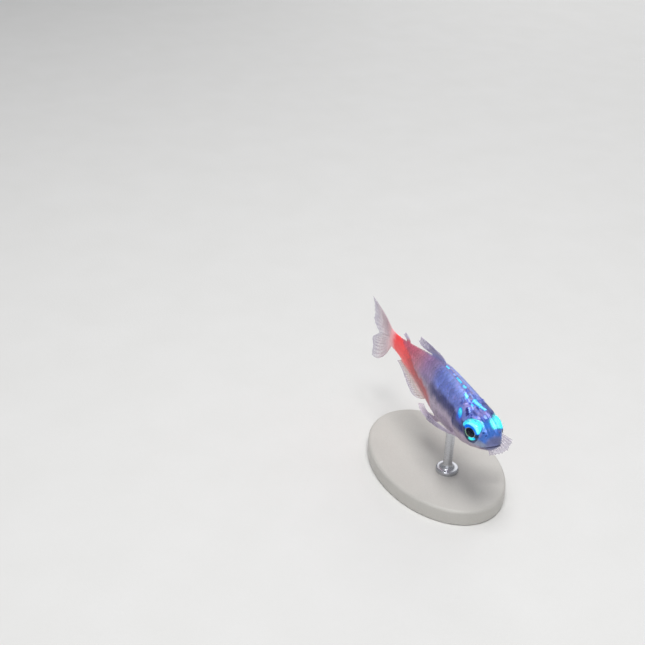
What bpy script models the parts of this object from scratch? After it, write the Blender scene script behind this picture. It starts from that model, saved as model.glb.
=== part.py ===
"""Neon tetra at life size, swimming level on a plain display stand.

The fish heads along +X with its back up and its left side towards +Y. It is
laid out in its own frame, where x is minus the distance s behind the tip of
the snout, y is towards its left and z is up from the snout. One empty then
lifts it over the stand. The stand rests on z = 0.
"""

import math

import bmesh
import bpy
from mathutils import Vector

MM = 0.001
GAP = 0.3 * MM

# The whole fish
STANDARD_LENGTH = 27.0 * MM
TAIL_FIN_LENGTH = 6.1 * MM
SWIM_HEIGHT = 12.6 * MM

# Body outline: distance behind the snout, back, underside and half width,
# all as shares of the standard length
BODY_STATIONS = (
    (0.000, 0.011, -0.012, 0.012),
    (0.013, 0.032, -0.028, 0.034),
    (0.035, 0.052, -0.041, 0.053),
    (0.070, 0.074, -0.056, 0.070),
    (0.110, 0.092, -0.071, 0.079),
    (0.175, 0.114, -0.094, 0.081),
    (0.255, 0.134, -0.120, 0.079),
    (0.360, 0.150, -0.142, 0.076),
    (0.465, 0.156, -0.145, 0.069),
    (0.575, 0.139, -0.119, 0.055),
    (0.690, 0.112, -0.084, 0.041),
    (0.800, 0.086, -0.058, 0.030),
    (0.900, 0.066, -0.041, 0.0205),
    (0.960, 0.061, -0.036, 0.0155),
    (1.000, 0.066, -0.039, 0.0110),
)
WIDEST_LEVEL = 0.03
HEAD_SQUARENESS = 0.84
TRUNK_SQUARENESS = 1.0
SQUARENESS_CHANGES = (0.12, 0.42)
RING_POINTS = 36
SHARP_EDGE = math.radians(40)

# Head
GILL_AT_BACK = 5.5 * MM
GILL_AT_SIDE = 6.8 * MM
GILL_AT_THROAT = 4.3 * MM
GILL_COVER_RISE = 0.12 * MM
GILL_COVER_LENGTH = 2.3 * MM
GILL_COVER_FALLS = (0.3, 1.0)
GILL_COVER_SIDE = (0.15, 0.5)
CHEEK_GROOVE = 0.09 * MM
CHEEK_GROOVE_WIDTH = 0.28 * MM
CHEEK_GROOVE_BELOW_EYE = (0.3, 0.9)
HEAD_RINGS = 26
HEAD_RING_CROWDING = 1.35
EYE_BEHIND_SNOUT = 2.77 * MM
EYE_LEVEL = 0.83 * MM
EYE_RADIUS = 1.35 * MM
EYE_DEPTH = 0.76 * MM
EYE_OUT = 1.7 * MM
EYE_BACK_PLANE = 1.15 * MM
EYE_LEAN_UP = 0.22
EYE_LEAN_FORWARD = 0.26
EYE_SEGMENTS = 28
EYE_RINGS = 16
BROW_RISE = 0.14 * MM
BROW_WIDTH = 0.55 * MM
BROW_AT = 1.3
BROW_ABOVE_EYE = (-0.2, 0.4)
BROW_OFF_MIDDLE = (0.1, 0.5)
MOUTH_LEVEL = 0.02 * MM
MOUTH_CORNER_BACK = 1.3 * MM
MOUTH_CORNER_DROP = 0.62 * MM
MOUTH_FRONT_OPENING = 0.22 * MM
MOUTH_CORNER_OPENING = 0.066 * MM
LIP_RISE = 0.09 * MM
LIP_HEIGHT = 0.24 * MM
LIP_ENDS = (0.8, 1.15)
NOSTRIL_BEHIND_SNOUT = (0.95 * MM, 1.3 * MM)
NOSTRIL_RADIUS = 0.15 * MM
NOSTRIL_ANGLE = math.radians(52)

# Trunk and tail stalk
STALK_START = 24.1 * MM
TRUNK_RINGS = 22
STALK_RINGS = 5

# Fins
MEMBRANE = 0.46 * MM
RAY = 0.68 * MM
PAIRED_FIN_RAY = 0.61 * MM
FIN_EDGE = 0.55
SCALLOP = 0.05
FAN_ROUNDING = 0.16
PECTORAL_OFF_BODY = 0.48 * MM
PELVIC_OFF_BODY = 0.36 * MM

# The dorsal fin is folded back. Its first two rays are shorter than the rest.
DORSAL_ROOT = (12.9 * MM, 16.1 * MM)
DORSAL_PEAK = (19.2 * MM, 4.95 * MM)
DORSAL_REAR = (19.3 * MM, 3.55 * MM)
DORSAL_BULGE = 0.5 * MM
DORSAL_SHORT_RAYS = (0.42, 0.8)
DORSAL_RAYS = 11

# The anal fin has a lobe in front and a hollow edge behind it
ANAL_ROOT = (16.7 * MM, 23.9 * MM)
ANAL_LOBE = (20.4 * MM, -5.3 * MM)
ANAL_REAR = (25.2 * MM, -2.2 * MM)
ANAL_HOLLOW = 0.7 * MM
ANAL_FIRST_RAY = 0.8
ANAL_RAYS = 18

# The two lobes of the tail fin. The fork between them lies below the axis.
UPPER_LOBE = (33.0 * MM, 3.9 * MM)
UPPER_LOBE_BULGE = 0.9 * MM
UPPER_LOBE_BOWS = (0.35 * MM, 0.1 * MM)
UPPER_FORK = (30.7 * MM, -0.55 * MM)
LOWER_LOBE = (32.3 * MM, -5.3 * MM)
LOWER_LOBE_BULGE = 1.3 * MM
LOWER_LOBE_BOWS = (-1.2 * MM, 0.05 * MM)
LOWER_FORK = (30.75 * MM, -1.15 * MM)
TAIL_ROOT_WIDTH = 0.2 * MM
TAIL_ROOT_ROUNDING = 0.25 * MM

# Stand
BASE_LENGTH = 24.0 * MM
BASE_WIDTH = 16.0 * MM
BASE_HEIGHT = 2.2 * MM
BASE_CENTRE = 3.5 * MM
BASE_CHAMFER = 0.4 * MM
BASE_SIDES = 96
ROD_BEHIND_SNOUT = 10.0 * MM
ROD_RADIUS = 0.6 * MM
ROD_FOOT_RADIUS = 1.5 * MM
ROD_FOOT_HEIGHT = 0.8 * MM
ROD_FOOT_EDGE = 0.32 * MM
ROD_SIDES = 24

TOTAL_LENGTH = STANDARD_LENGTH + TAIL_FIN_LENGTH


def clear_scene():
    for thing in list(bpy.data.objects):
        bpy.data.objects.remove(thing)


def material(name, colour, roughness, metallic=0.0):
    made = bpy.data.materials.new(name)
    made.use_nodes = True
    shader = made.node_tree.nodes["Principled BSDF"]
    shader.inputs["Base Color"].default_value = (*colour, 1.0)
    shader.inputs["Roughness"].default_value = roughness
    shader.inputs["Metallic"].default_value = metallic
    return made


def smoothstep(low, high, value):
    share = min(1.0, max(0.0, (value - low) / (high - low)))
    return share * share * (3 - 2 * share)


def through_stations(share, column):
    """One column of the body stations at a share of the length, on a smooth
    curve that passes through every station."""
    rows = BODY_STATIONS
    last = len(rows) - 1
    i = next((k for k in range(last) if share <= rows[k + 1][0]), last - 1)

    def slope(k):
        a, b = rows[max(k - 1, 0)], rows[min(k + 1, last)]
        return (b[column] - a[column]) / (b[0] - a[0])

    start, end = rows[i], rows[i + 1]
    width = end[0] - start[0]
    t = (share - start[0]) / width
    return (
        (1 + 2 * t) * (1 - t) ** 2 * start[column]
        + t * (1 - t) ** 2 * width * slope(i)
        + t * t * (3 - 2 * t) * end[column]
        + t * t * (t - 1) * width * slope(i + 1)
    )


def outline(s):
    """Back, underside and half width of the body at distance s."""
    share = s / STANDARD_LENGTH
    return tuple(through_stations(share, c) * STANDARD_LENGTH for c in (1, 2, 3))


def widest_level(s):
    back, belly, _ = outline(s)
    return 0.5 * (back + belly) + WIDEST_LEVEL * (back - belly)


def squareness(s):
    """Power of the section's curve: below 1 it is boxy, at 1 it is an ellipse."""
    blend = smoothstep(*SQUARENESS_CHANGES, s / STANDARD_LENGTH)
    return HEAD_SQUARENESS + (TRUNK_SQUARENESS - HEAD_SQUARENESS) * blend


def in_fish(s, y, z):
    return Vector((-s, y, z))


def section_point(s, angle):
    """Point (y, z) of the smooth body section, angle 0 at its left side."""
    back, belly, half = outline(s)
    level = widest_level(s)
    power = squareness(s)
    across = math.cos(angle)
    up = math.sin(angle)
    y = half * math.copysign(abs(across) ** power, across)
    reach = (back - level) if up > 0 else (level - belly)
    return y, level + math.copysign(abs(up) ** power, up) * reach


def flank(s, z):
    """Half width of the body at distance s and height z."""
    back, belly, half = outline(s)
    level = widest_level(s)
    reach = (back - level) if z > level else (level - belly)
    power = squareness(s)
    up = min(1.0, abs(z - level) / reach) ** (1 / power)
    return half * math.sqrt(1 - up * up) ** power


def gill_edge(angle):
    """Distance behind the snout of the gill opening at this angle."""
    side = math.cos(angle) ** 2
    end = GILL_AT_BACK if math.sin(angle) > 0 else GILL_AT_THROAT
    return end + (GILL_AT_SIDE - end) * side


def mouth_level(s):
    return MOUTH_LEVEL - MOUTH_CORNER_DROP * s / MOUTH_CORNER_BACK


def head_relief(s, angle):
    """Height of lips, brow and gill cover over the smooth head."""
    y, z = section_point(s, angle)
    at_mouth = math.exp(-(((z - mouth_level(s)) / LIP_HEIGHT) ** 2))
    lips = LIP_RISE * at_mouth * (1 - smoothstep(*LIP_ENDS, s / MOUTH_CORNER_BACK))
    from_eye = math.hypot(s - EYE_BEHIND_SNOUT, z - EYE_LEVEL)
    brow = BROW_RISE * math.exp(-(((from_eye - BROW_AT * EYE_RADIUS) / BROW_WIDTH) ** 2))
    brow *= smoothstep(*BROW_ABOVE_EYE, (z - EYE_LEVEL) / EYE_RADIUS)
    brow *= smoothstep(*BROW_OFF_MIDDLE, abs(y) / EYE_OUT)
    ahead = gill_edge(angle) - s
    side = smoothstep(*GILL_COVER_SIDE, abs(math.cos(angle)))
    cover = GILL_COVER_RISE * (1 - smoothstep(*GILL_COVER_FALLS, ahead / GILL_COVER_LENGTH))
    groove_at = (ahead - GILL_COVER_LENGTH) / CHEEK_GROOVE_WIDTH
    groove = CHEEK_GROOVE * math.exp(-(groove_at**2))
    below_eye = smoothstep(*CHEEK_GROOVE_BELOW_EYE, (EYE_LEVEL - z) / EYE_RADIUS)
    return lips + brow + side * (cover - groove * below_eye)


def body_point(s, angle, relief=0.0):
    y, z = section_point(s, angle)
    out = Vector((0, y, z - widest_level(s)))
    if relief and out.length > 0:
        step = out.normalized() * relief
        y, z = y + step.y, z + step.z
    return in_fish(s, y, z)


def add_object(name, mesh, look, parent=None):
    made = bpy.data.objects.new(name, mesh)
    bpy.context.scene.collection.objects.link(made)
    if look:
        mesh.materials.append(look)
    made.parent = parent
    return made


def closed_mesh(name, points, faces, smooth=True):
    mesh = bpy.data.meshes.new(name)
    mesh.from_pydata([tuple(p) for p in points], [], faces)
    mesh.validate()
    shape = bmesh.new()
    shape.from_mesh(mesh)
    bmesh.ops.recalc_face_normals(shape, faces=shape.faces)
    bmesh.ops.triangulate(shape, faces=shape.faces)
    shape.to_mesh(mesh)
    shape.free()
    if smooth:
        mesh.shade_smooth()
        mesh.set_sharp_from_angle(angle=SHARP_EDGE)
    return mesh


def lofted(name, rings, start_cap, end_cap):
    """A closed skin over rings of equal count, fanned to a point at each end."""
    count = len(rings[0])
    points = [p for ring in rings for p in ring] + [start_cap, end_cap]
    first, last = len(points) - 2, len(points) - 1
    faces = []
    for r in range(len(rings) - 1):
        for k in range(count):
            a, b = r * count + k, r * count + (k + 1) % count
            faces.append((a, b, b + count, a + count))
    tail = (len(rings) - 1) * count
    for k in range(count):
        faces.append((first, (k + 1) % count, k))
        faces.append((last, tail + k, tail + (k + 1) % count))
    return closed_mesh(name, points, faces)


def ring_angles():
    return [2 * math.pi * k / RING_POINTS for k in range(RING_POINTS)]


def centre_of(ring):
    return sum(ring, Vector()) / len(ring)


def cut(target, cutters):
    """Takes each cutter away from the target with a Boolean, and hides it."""
    for cutter in cutters:
        step = target.modifiers.new(cutter.name, "BOOLEAN")
        step.operation = "DIFFERENCE"
        step.object = cutter
        cutter.hide_render = True
        cutter.display_type = "WIRE"


def eye_mesh(name, side, grown):
    """The outer part of a flattened ball, its flat back towards the skull.
    It leans up and forward, as the side of the head does."""
    shape = bmesh.new()
    bmesh.ops.create_uvsphere(shape, u_segments=EYE_SEGMENTS, v_segments=EYE_RINGS, radius=1.0)
    for vertex in shape.verts:
        ahead = vertex.co.x * (EYE_RADIUS + grown)
        above = vertex.co.y * (EYE_RADIUS + grown)
        out = EYE_OUT + vertex.co.z * (EYE_DEPTH + grown)
        out -= EYE_LEAN_UP * above + EYE_LEAN_FORWARD * ahead
        vertex.co = (ahead - EYE_BEHIND_SNOUT, side * out, above + EYE_LEVEL)
    plane = side * (EYE_BACK_PLANE - grown)
    everything = shape.verts[:] + shape.edges[:] + shape.faces[:]
    bmesh.ops.bisect_plane(
        shape,
        geom=everything,
        dist=1e-7,
        plane_co=(0, plane, 0),
        plane_no=(0, -side, 0),
        clear_outer=True,
    )
    rim = [e for e in shape.edges if e.is_boundary]
    bmesh.ops.contextual_create(shape, geom=rim)
    bmesh.ops.recalc_face_normals(shape, faces=shape.faces)
    mesh = bpy.data.meshes.new(name)
    shape.to_mesh(mesh)
    shape.free()
    mesh.shade_smooth()
    mesh.set_sharp_from_angle(angle=SHARP_EDGE)
    return mesh


def mouth_cutter():
    """A thin wedge that slopes back and down between the jaws."""
    ahead = 1.0 * MM
    wide = 3.0 * MM
    front = mouth_level(-ahead)
    back = mouth_level(MOUTH_CORNER_BACK)
    profile = (
        (ahead, front + MOUTH_FRONT_OPENING / 2),
        (-MOUTH_CORNER_BACK, back + MOUTH_CORNER_OPENING / 2),
        (-MOUTH_CORNER_BACK, back - MOUTH_CORNER_OPENING / 2),
        (ahead, front - MOUTH_FRONT_OPENING / 2),
    )
    points = [Vector((x, y, z)) for y in (-wide, wide) for x, z in profile]
    faces = [(0, 1, 2, 3), (7, 6, 5, 4)]
    faces += [(k, (k + 1) % 4, (k + 1) % 4 + 4, k + 4) for k in range(4)]
    return closed_mesh("mouth_cut", points, faces, smooth=False)


def nostril_cutter(name, s, side):
    angle = NOSTRIL_ANGLE if side > 0 else math.pi - NOSTRIL_ANGLE
    shape = bmesh.new()
    bmesh.ops.create_uvsphere(shape, u_segments=10, v_segments=6, radius=NOSTRIL_RADIUS)
    bmesh.ops.translate(shape, verts=shape.verts, vec=body_point(s, angle))
    mesh = bpy.data.meshes.new(name)
    shape.to_mesh(mesh)
    shape.free()
    return mesh


def head(fish, skin):
    rings = []
    for r in range(HEAD_RINGS + 1):
        share = (r / HEAD_RINGS) ** HEAD_RING_CROWDING
        ring = []
        for angle in ring_angles():
            s = share * gill_edge(angle)
            ring.append(body_point(s, angle, head_relief(s, angle)))
        rings.append(ring)
    mesh = lofted("head", rings, centre_of(rings[0]), centre_of(rings[-1]))
    made = add_object("head", mesh, skin, fish)
    cutters = [add_object("mouth_cut", mouth_cutter(), None, fish)]
    for side, word in ((1, "left"), (-1, "right")):
        name = "socket_" + word
        cutters.append(add_object(name, eye_mesh(name, side, GAP), None, fish))
        for k, s in enumerate(NOSTRIL_BEHIND_SNOUT):
            name = f"nostril_{word}_{k}"
            cutters.append(add_object(name, nostril_cutter(name, s, side), None, fish))
    cut(made, cutters)


def trunk(fish, skin):
    rings = []
    for r in range(TRUNK_RINGS + 1):
        share = r / TRUNK_RINGS
        ring = []
        for angle in ring_angles():
            start = gill_edge(angle) + GAP
            ring.append(body_point(start + share * (STALK_START - GAP - start), angle))
        rings.append(ring)
    front = centre_of(rings[0])
    mesh = lofted("trunk", rings, front, centre_of(rings[-1]))
    add_object("trunk", mesh, skin, fish)


def tail_stalk(fish, skin):
    rings = []
    for r in range(STALK_RINGS + 1):
        s = STALK_START + (STANDARD_LENGTH - STALK_START) * r / STALK_RINGS
        rings.append([body_point(s, angle) for angle in ring_angles()])
    mesh = lofted("tail_stalk", rings, centre_of(rings[0]), centre_of(rings[-1]))
    add_object("tail_stalk", mesh, skin, fish)


def eyes(fish, look):
    for side, word in ((1, "left"), (-1, "right")):
        name = "eye_" + word
        add_object(name, eye_mesh(name, side, 0.0), look, fish)


def rayed_sheet(name, rays, ray_thickness=RAY):
    """A fin: a membrane with one raised ridge along each ray. Each ray is a
    list of points from root to tip, and the valleys run midway between."""
    rows = len(rays[0])
    lines = []
    for k, ray in enumerate(rays):
        lines.append((ray, ray_thickness))
        if k + 1 < len(rays):
            middle = [(a + b) / 2 for a, b in zip(ray, rays[k + 1])]
            middle[-1] = middle[-1].lerp(middle[0], SCALLOP)
            lines.append((middle, MEMBRANE))
    count = len(lines)

    def at(line, row):
        line = min(max(line, 0), count - 1)
        return lines[line][0][min(max(row, 0), rows - 1)]

    front, back = [], []
    for line in range(count):
        for row in range(rows):
            along = at(line, row + 1) - at(line, row - 1)
            across = at(line + 1, row) - at(line - 1, row)
            normal = along.cross(across).normalized()
            slim = 1 - (1 - FIN_EDGE) * (row / (rows - 1)) ** 2
            half = 0.5 * lines[line][1] * slim
            front.append(at(line, row) + normal * half)
            back.append(at(line, row) - normal * half)
    size = len(front)
    faces = []
    for line in range(count - 1):
        for row in range(rows - 1):
            a = line * rows + row
            b = a + rows
            for x, y, z in ((a, b, b + 1), (a, b + 1, a + 1)):
                faces += [(x, y, z), (size + x, size + z, size + y)]
    rim = [line * rows for line in range(count)]
    rim += [(count - 1) * rows + row for row in range(1, rows)]
    rim += [line * rows + rows - 1 for line in range(count - 2, -1, -1)]
    rim += [row for row in range(rows - 2, 0, -1)]
    for k, a in enumerate(rim):
        b = rim[(k + 1) % len(rim)]
        faces += [(a, size + b, b), (a, size + a, size + b)]
    return closed_mesh(name, front + back, faces)


def bent_ray(root, tip, bow, rows):
    """Points from root to tip, bowed sideways from the straight line by bow."""
    points = []
    for row in range(rows):
        t = row / (rows - 1)
        points.append(root.lerp(tip, t) + bow * (4 * t * (1 - t)))
    return points


def median_fin(name, fish, look, count, root_at, tip_at, bows, rows=6):
    """A fin in the fish's middle plane. root_at and tip_at give (s, z) for a
    share from the first ray to the last, and bows how far these two bend."""
    rays = []
    for k in range(count):
        u = k / (count - 1)
        root = in_fish(root_at(u)[0], 0, root_at(u)[1])
        tip = in_fish(tip_at(u)[0], 0, tip_at(u)[1])
        bow = bows[0] + (bows[1] - bows[0]) * u
        rays.append(bent_ray(root, tip, Vector((0, 0, bow)), rows))
    add_object(name, rayed_sheet(name, rays), look, fish)


def between(a, b, u):
    return tuple(x + (y - x) * u for x, y in zip(a, b))


def dorsal_fin(fish, look):
    def root(u):
        s = DORSAL_ROOT[0] + (DORSAL_ROOT[1] - DORSAL_ROOT[0]) * u
        return s, outline(s)[0] + GAP

    def tip(u):
        s, z = between(DORSAL_PEAK, DORSAL_REAR, u)
        whole = (s + DORSAL_BULGE * math.sin(math.pi * u), z)
        k = round(u * (DORSAL_RAYS - 1))
        if k < len(DORSAL_SHORT_RAYS):
            return between(root(u), whole, DORSAL_SHORT_RAYS[k])
        return whole

    bows = (0.3 * MM, -0.08 * MM)
    median_fin("fin_dorsal", fish, look, DORSAL_RAYS, root, tip, bows, 8)


def anal_fin(fish, look):
    def root(u):
        s = ANAL_ROOT[0] + (ANAL_ROOT[1] - ANAL_ROOT[0]) * u
        return s, outline(s)[1] - GAP

    def tip(u):
        s, z = between(ANAL_LOBE, ANAL_REAR, u)
        z += ANAL_HOLLOW * math.sin(math.pi * u) * (1 - u)
        return (s, z) if u > 0 else between(root(0), (s, z), ANAL_FIRST_RAY)

    bows = (-0.2 * MM, -0.08 * MM)
    median_fin("fin_anal", fish, look, ANAL_RAYS, root, tip, bows, 6)


def adipose_fin(fish, look):
    first, last = 22.1 * MM, 22.9 * MM
    front, rear = (23.4 * MM, 3.2 * MM), (23.9 * MM, 2.6 * MM)

    def root(u):
        s = first + (last - first) * u
        return s, outline(s)[0] + GAP

    def tip(u):
        return between(front, rear, u)

    bows = (0.12 * MM, 0.05 * MM)
    median_fin("fin_adipose", fish, look, 3, root, tip, bows, 5)


def tail_fin(fish, look):
    """Two lobes with a gap between them, which opens into the fork."""
    middle = 0.5 * (outline(STANDARD_LENGTH)[0] + outline(STANDARD_LENGTH)[1])
    start = STANDARD_LENGTH + GAP
    upper = (10, 1.55 * MM, 1, UPPER_LOBE, UPPER_FORK, UPPER_LOBE_BULGE, UPPER_LOBE_BOWS)
    lower = (9, -0.85 * MM, -1, LOWER_LOBE, LOWER_FORK, LOWER_LOBE_BULGE, LOWER_LOBE_BOWS)
    for name, lobe in (("fin_tail_upper", upper), ("fin_tail_lower", lower)):
        count, edge, up, outer, fork, bulge, bows = lobe
        inner = middle + up * GAP / 2

        def root(u, edge=edge, inner=inner, up=up):
            rounding = TAIL_ROOT_ROUNDING * (1 - u) ** 2
            return start - rounding, edge + (inner + up * TAIL_ROOT_WIDTH - edge) * u

        def tip(u, outer=outer, fork=fork, bulge=bulge):
            s, z = between(outer, fork, u)
            return s + bulge * math.sin(math.pi * u), z

        median_fin(name, fish, look, count, root, tip, bows, 8)


def fan_fin(name, fish, look, roots, tips, bow, count, rows=6):
    """A paired fin: rays from a short root line fan out to a rounded edge."""
    rays = []
    for k in range(count):
        u = k / (count - 1)
        root = roots[0].lerp(roots[1], u)
        tip = tips[0].lerp(tips[1], u)
        rounded = 1 + FAN_ROUNDING * math.sin(math.pi * u)
        tip = root + (tip - root) * rounded
        rays.append(bent_ray(root, tip, bow, rows))
    add_object(name, rayed_sheet(name, rays, PAIRED_FIN_RAY), look, fish)


def pectoral_fins(fish, look):
    """The left fin is spread as a brake, and the right one trails."""
    top, low = (6.9 * MM, -1.8 * MM), (7.5 * MM, -2.5 * MM)
    poses = (
        (1, "left", (4.9, 6.1, -4.0), (5.4, 3.2, -5.9)),
        (-1, "right", (11.9, -2.45, -2.2), (12.0, -2.1, -3.5)),
    )
    for side, word, tip_a, tip_b in poses:
        roots = []
        for s, z in (top, low):
            roots.append(in_fish(s, side * (flank(s, z) + PECTORAL_OFF_BODY), z))
        tips = [in_fish(*(v * MM for v in tip)) for tip in (tip_a, tip_b)]
        bow = Vector((0, side * 0.25 * MM, 0.1 * MM))
        fan_fin("fin_pectoral_" + word, fish, look, roots, tips, bow, 11, 7)


def pelvic_fins(fish, look):
    for side, word in ((1, "left"), (-1, "right")):
        roots = []
        for s, y in ((12.1 * MM, 0.9 * MM), (12.9 * MM, 0.45 * MM)):
            below = outline(s)[1] - PELVIC_OFF_BODY
            roots.append(in_fish(s, side * y, below))
        tips = [
            in_fish(15.9 * MM, side * 1.5 * MM, -3.9 * MM),
            in_fish(16.3 * MM, side * 0.6 * MM, -3.7 * MM),
        ]
        bow = Vector((0, side * 0.2 * MM, 0))
        fan_fin("fin_pelvic_" + word, fish, look, roots, tips, bow, 8, 6)


def turned(name, rings, look, centre):
    """A solid of stacked rings, each (z, half length, half width)."""
    sides = BASE_SIDES if name == "stand_base" else ROD_SIDES
    loops = []
    for z, along, across in rings:
        loop = []
        for k in range(sides):
            angle = 2 * math.pi * k / sides
            offset = Vector((along * math.cos(angle), across * math.sin(angle), z))
            loop.append(centre + offset)
        loops.append(loop)
    mesh = lofted(name, loops, centre_of(loops[0]), centre_of(loops[-1]))
    return add_object(name, mesh, look)


def stand(base_look, rod_look):
    a, b, c = BASE_LENGTH / 2, BASE_WIDTH / 2, BASE_CHAMFER
    base = (
        (0, a - c, b - c),
        (c, a, b),
        (BASE_HEIGHT - c, a, b),
        (BASE_HEIGHT, a - c, b - c),
    )
    turned("stand_base", base, base_look, Vector((BASE_CENTRE, 0, 0)))
    belly = outline(ROD_BEHIND_SNOUT)[1]
    x = TOTAL_LENGTH / 2 - ROD_BEHIND_SNOUT
    top = SWIM_HEIGHT + belly - GAP
    low = BASE_HEIGHT + GAP
    rod = (
        (low, ROD_FOOT_RADIUS, ROD_FOOT_RADIUS),
        (low + ROD_FOOT_EDGE, ROD_FOOT_RADIUS, ROD_FOOT_RADIUS),
        (low + ROD_FOOT_HEIGHT, ROD_RADIUS, ROD_RADIUS),
        (top, ROD_RADIUS, ROD_RADIUS),
    )
    turned("stand_rod", rod, rod_look, Vector((x, 0, 0)))


def main():
    clear_scene()
    skin = material("skin", (0.24, 0.27, 0.55), 0.35, 0.2)
    stripe = material("stalk_skin", (0.75, 0.12, 0.14), 0.35, 0.1)
    eye = material("eye", (0.02, 0.35, 0.6), 0.1, 0.4)
    fin = material("fin", (0.55, 0.52, 0.58), 0.4)
    base_look = material("stand_base", (0.62, 0.61, 0.59), 0.5)
    rod_look = material("stand_rod", (0.6, 0.6, 0.62), 0.3, 1.0)
    fish = bpy.data.objects.new("fish", None)
    bpy.context.scene.collection.objects.link(fish)
    fish.location = (TOTAL_LENGTH / 2, 0, SWIM_HEIGHT)
    head(fish, skin)
    trunk(fish, skin)
    tail_stalk(fish, stripe)
    eyes(fish, eye)
    dorsal_fin(fish, fin)
    anal_fin(fish, fin)
    adipose_fin(fish, fin)
    tail_fin(fish, fin)
    pectoral_fins(fish, fin)
    pelvic_fins(fish, fin)
    stand(base_look, rod_look)


main()
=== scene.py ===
"""Looks of a life-size neon tetra model, swimming over its display stand.

Sizes are in millimetres until a mesh is made. A place on the fish is given by
s, the distance behind the tip of the snout, and by an angle round the body
that is 0 on its left side and 90 degrees on its back.
"""

import math

import bpy
import numpy as np
from mathutils import Matrix, Vector


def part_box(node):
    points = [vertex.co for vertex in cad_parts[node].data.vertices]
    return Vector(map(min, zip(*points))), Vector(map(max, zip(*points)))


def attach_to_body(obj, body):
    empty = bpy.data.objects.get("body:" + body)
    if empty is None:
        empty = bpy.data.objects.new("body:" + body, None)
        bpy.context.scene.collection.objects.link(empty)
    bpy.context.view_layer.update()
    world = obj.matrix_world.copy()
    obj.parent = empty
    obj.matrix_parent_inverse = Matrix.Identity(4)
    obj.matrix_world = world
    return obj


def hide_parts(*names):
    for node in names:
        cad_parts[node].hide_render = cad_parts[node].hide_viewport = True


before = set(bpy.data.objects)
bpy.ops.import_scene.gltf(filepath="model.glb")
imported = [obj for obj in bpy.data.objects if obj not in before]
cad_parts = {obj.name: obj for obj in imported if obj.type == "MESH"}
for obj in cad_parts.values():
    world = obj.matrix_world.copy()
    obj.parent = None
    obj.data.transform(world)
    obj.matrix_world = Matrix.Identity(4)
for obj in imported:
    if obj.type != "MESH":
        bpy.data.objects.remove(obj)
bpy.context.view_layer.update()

MM = 0.001
BODY = "root"
rng = np.random.default_rng(7)
SIDES = {"left": 1, "right": -1}

# The whole fish, as the solids have it
STANDARD_LENGTH = 27.0
TOTAL_LENGTH = 33.1
SWIM_HEIGHT = 12.6
GAP = 0.3

# Body outline: share of the length, then back, underside and half width as
# shares of the length
STATIONS = np.array((
    (0.000, 0.011, -0.012, 0.012),
    (0.013, 0.032, -0.028, 0.034),
    (0.035, 0.052, -0.041, 0.053),
    (0.070, 0.074, -0.056, 0.070),
    (0.110, 0.092, -0.071, 0.079),
    (0.175, 0.114, -0.094, 0.081),
    (0.255, 0.134, -0.120, 0.079),
    (0.360, 0.150, -0.142, 0.076),
    (0.465, 0.156, -0.145, 0.069),
    (0.575, 0.139, -0.119, 0.055),
    (0.690, 0.112, -0.084, 0.041),
    (0.800, 0.086, -0.058, 0.030),
    (0.900, 0.066, -0.041, 0.0205),
    (0.960, 0.061, -0.036, 0.0155),
    (1.000, 0.066, -0.039, 0.0110),
))
WIDEST_LEVEL = 0.03
HEAD_SQUARENESS = 0.84
TRUNK_SQUARENESS = 1.0
SQUARENESS_CHANGE = (0.12, 0.42)

# Head
GILL_AT_BACK = 5.5
GILL_AT_SIDE = 6.8
GILL_AT_THROAT = 4.3
EYE_BEHIND_SNOUT = 2.77
EYE_LEVEL = 0.83
EYE_RADIUS = 1.3
EYE_OUT = 1.7
EYE_FORWARD = {"left": math.radians(5), "right": math.radians(15)}
EYE_UP = {"left": math.radians(3), "right": math.radians(12.5)}
PUPIL_RADIUS = 0.62
PUPIL_STRETCH = 0.18
LENS_RISE = 0.2
IRIS_RISE = 0.5
CORNEA_RISE = 0.76
EYE_RIM = 0.05
EYE_SIDES = 112
IRIS_RINGS = 25
LENS_RINGS = 15
CORNEA_RINGS = 25
EYE_BACK = ((0.01, -0.6), (0.7, -0.56), (1.1, -0.4))
SOCKET_DEPTH = 0.9
SOCKET_WALL = 0.3
MOUTH_LEVEL = 0.02
MOUTH_CORNER_BACK = 1.3
MOUTH_CORNER_DROP = 0.62
NOSTRILS = (0.95, 1.3)
NOSTRIL_ANGLE = math.radians(52)

# Skin
SKIN_INSET = 0.05
NOSE_START = 0.06
NOSE_ROUNDING = 0.55
TAIL_WEDGE = 0.5
WEDGE_NARROWING = 0.85
WEDGE_LOWERING = 0.2
HEAD_RINGS = 170
TRUNK_RINGS = 190
RING_POINTS = 260
RING_CROWDING = 1.25
BEHIND_GILL = (0.03, 0.06, 0.1, 0.15, 0.21, 0.28, 0.36, 0.45, 0.55)

# Fins in the middle plane: number of rays, base from s to s, and the corners
# of the edge as s and z
DORSAL_RAYS = 11
DORSAL_BASE = (12.9, 16.1)
DORSAL_PEAK = (19.2, 4.95)
DORSAL_REAR = (19.3, 3.55)
DORSAL_BULGE = 0.5
ANAL_RAYS = 18
ANAL_BASE = (16.7, 23.9)
ANAL_LOBE = (20.4, -5.3)
ANAL_REAR = (25.2, -2.2)
ANAL_HOLLOW = 0.7
ADIPOSE_RAYS = 3
ADIPOSE_BASE = (22.1, 22.9)
ADIPOSE_TIP = (23.4, 3.2)
ADIPOSE_REAR = (23.9, 2.6)

# Tail lobes: rays, 1 for up, height of the base's outer end, outer corner,
# fork, bulge of the edge, and how far the first and last rays bend up
TAIL_LOBES = {
    "upper": (10, 1, 1.55, (33.0, 3.9), (30.7, -0.82), 0.9, (0.35, 0.04)),
    "lower": (9, -1, -0.85, (32.3, -5.3), (30.75, -0.93), 1.3, (-1.2, 0.04)),
}

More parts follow.
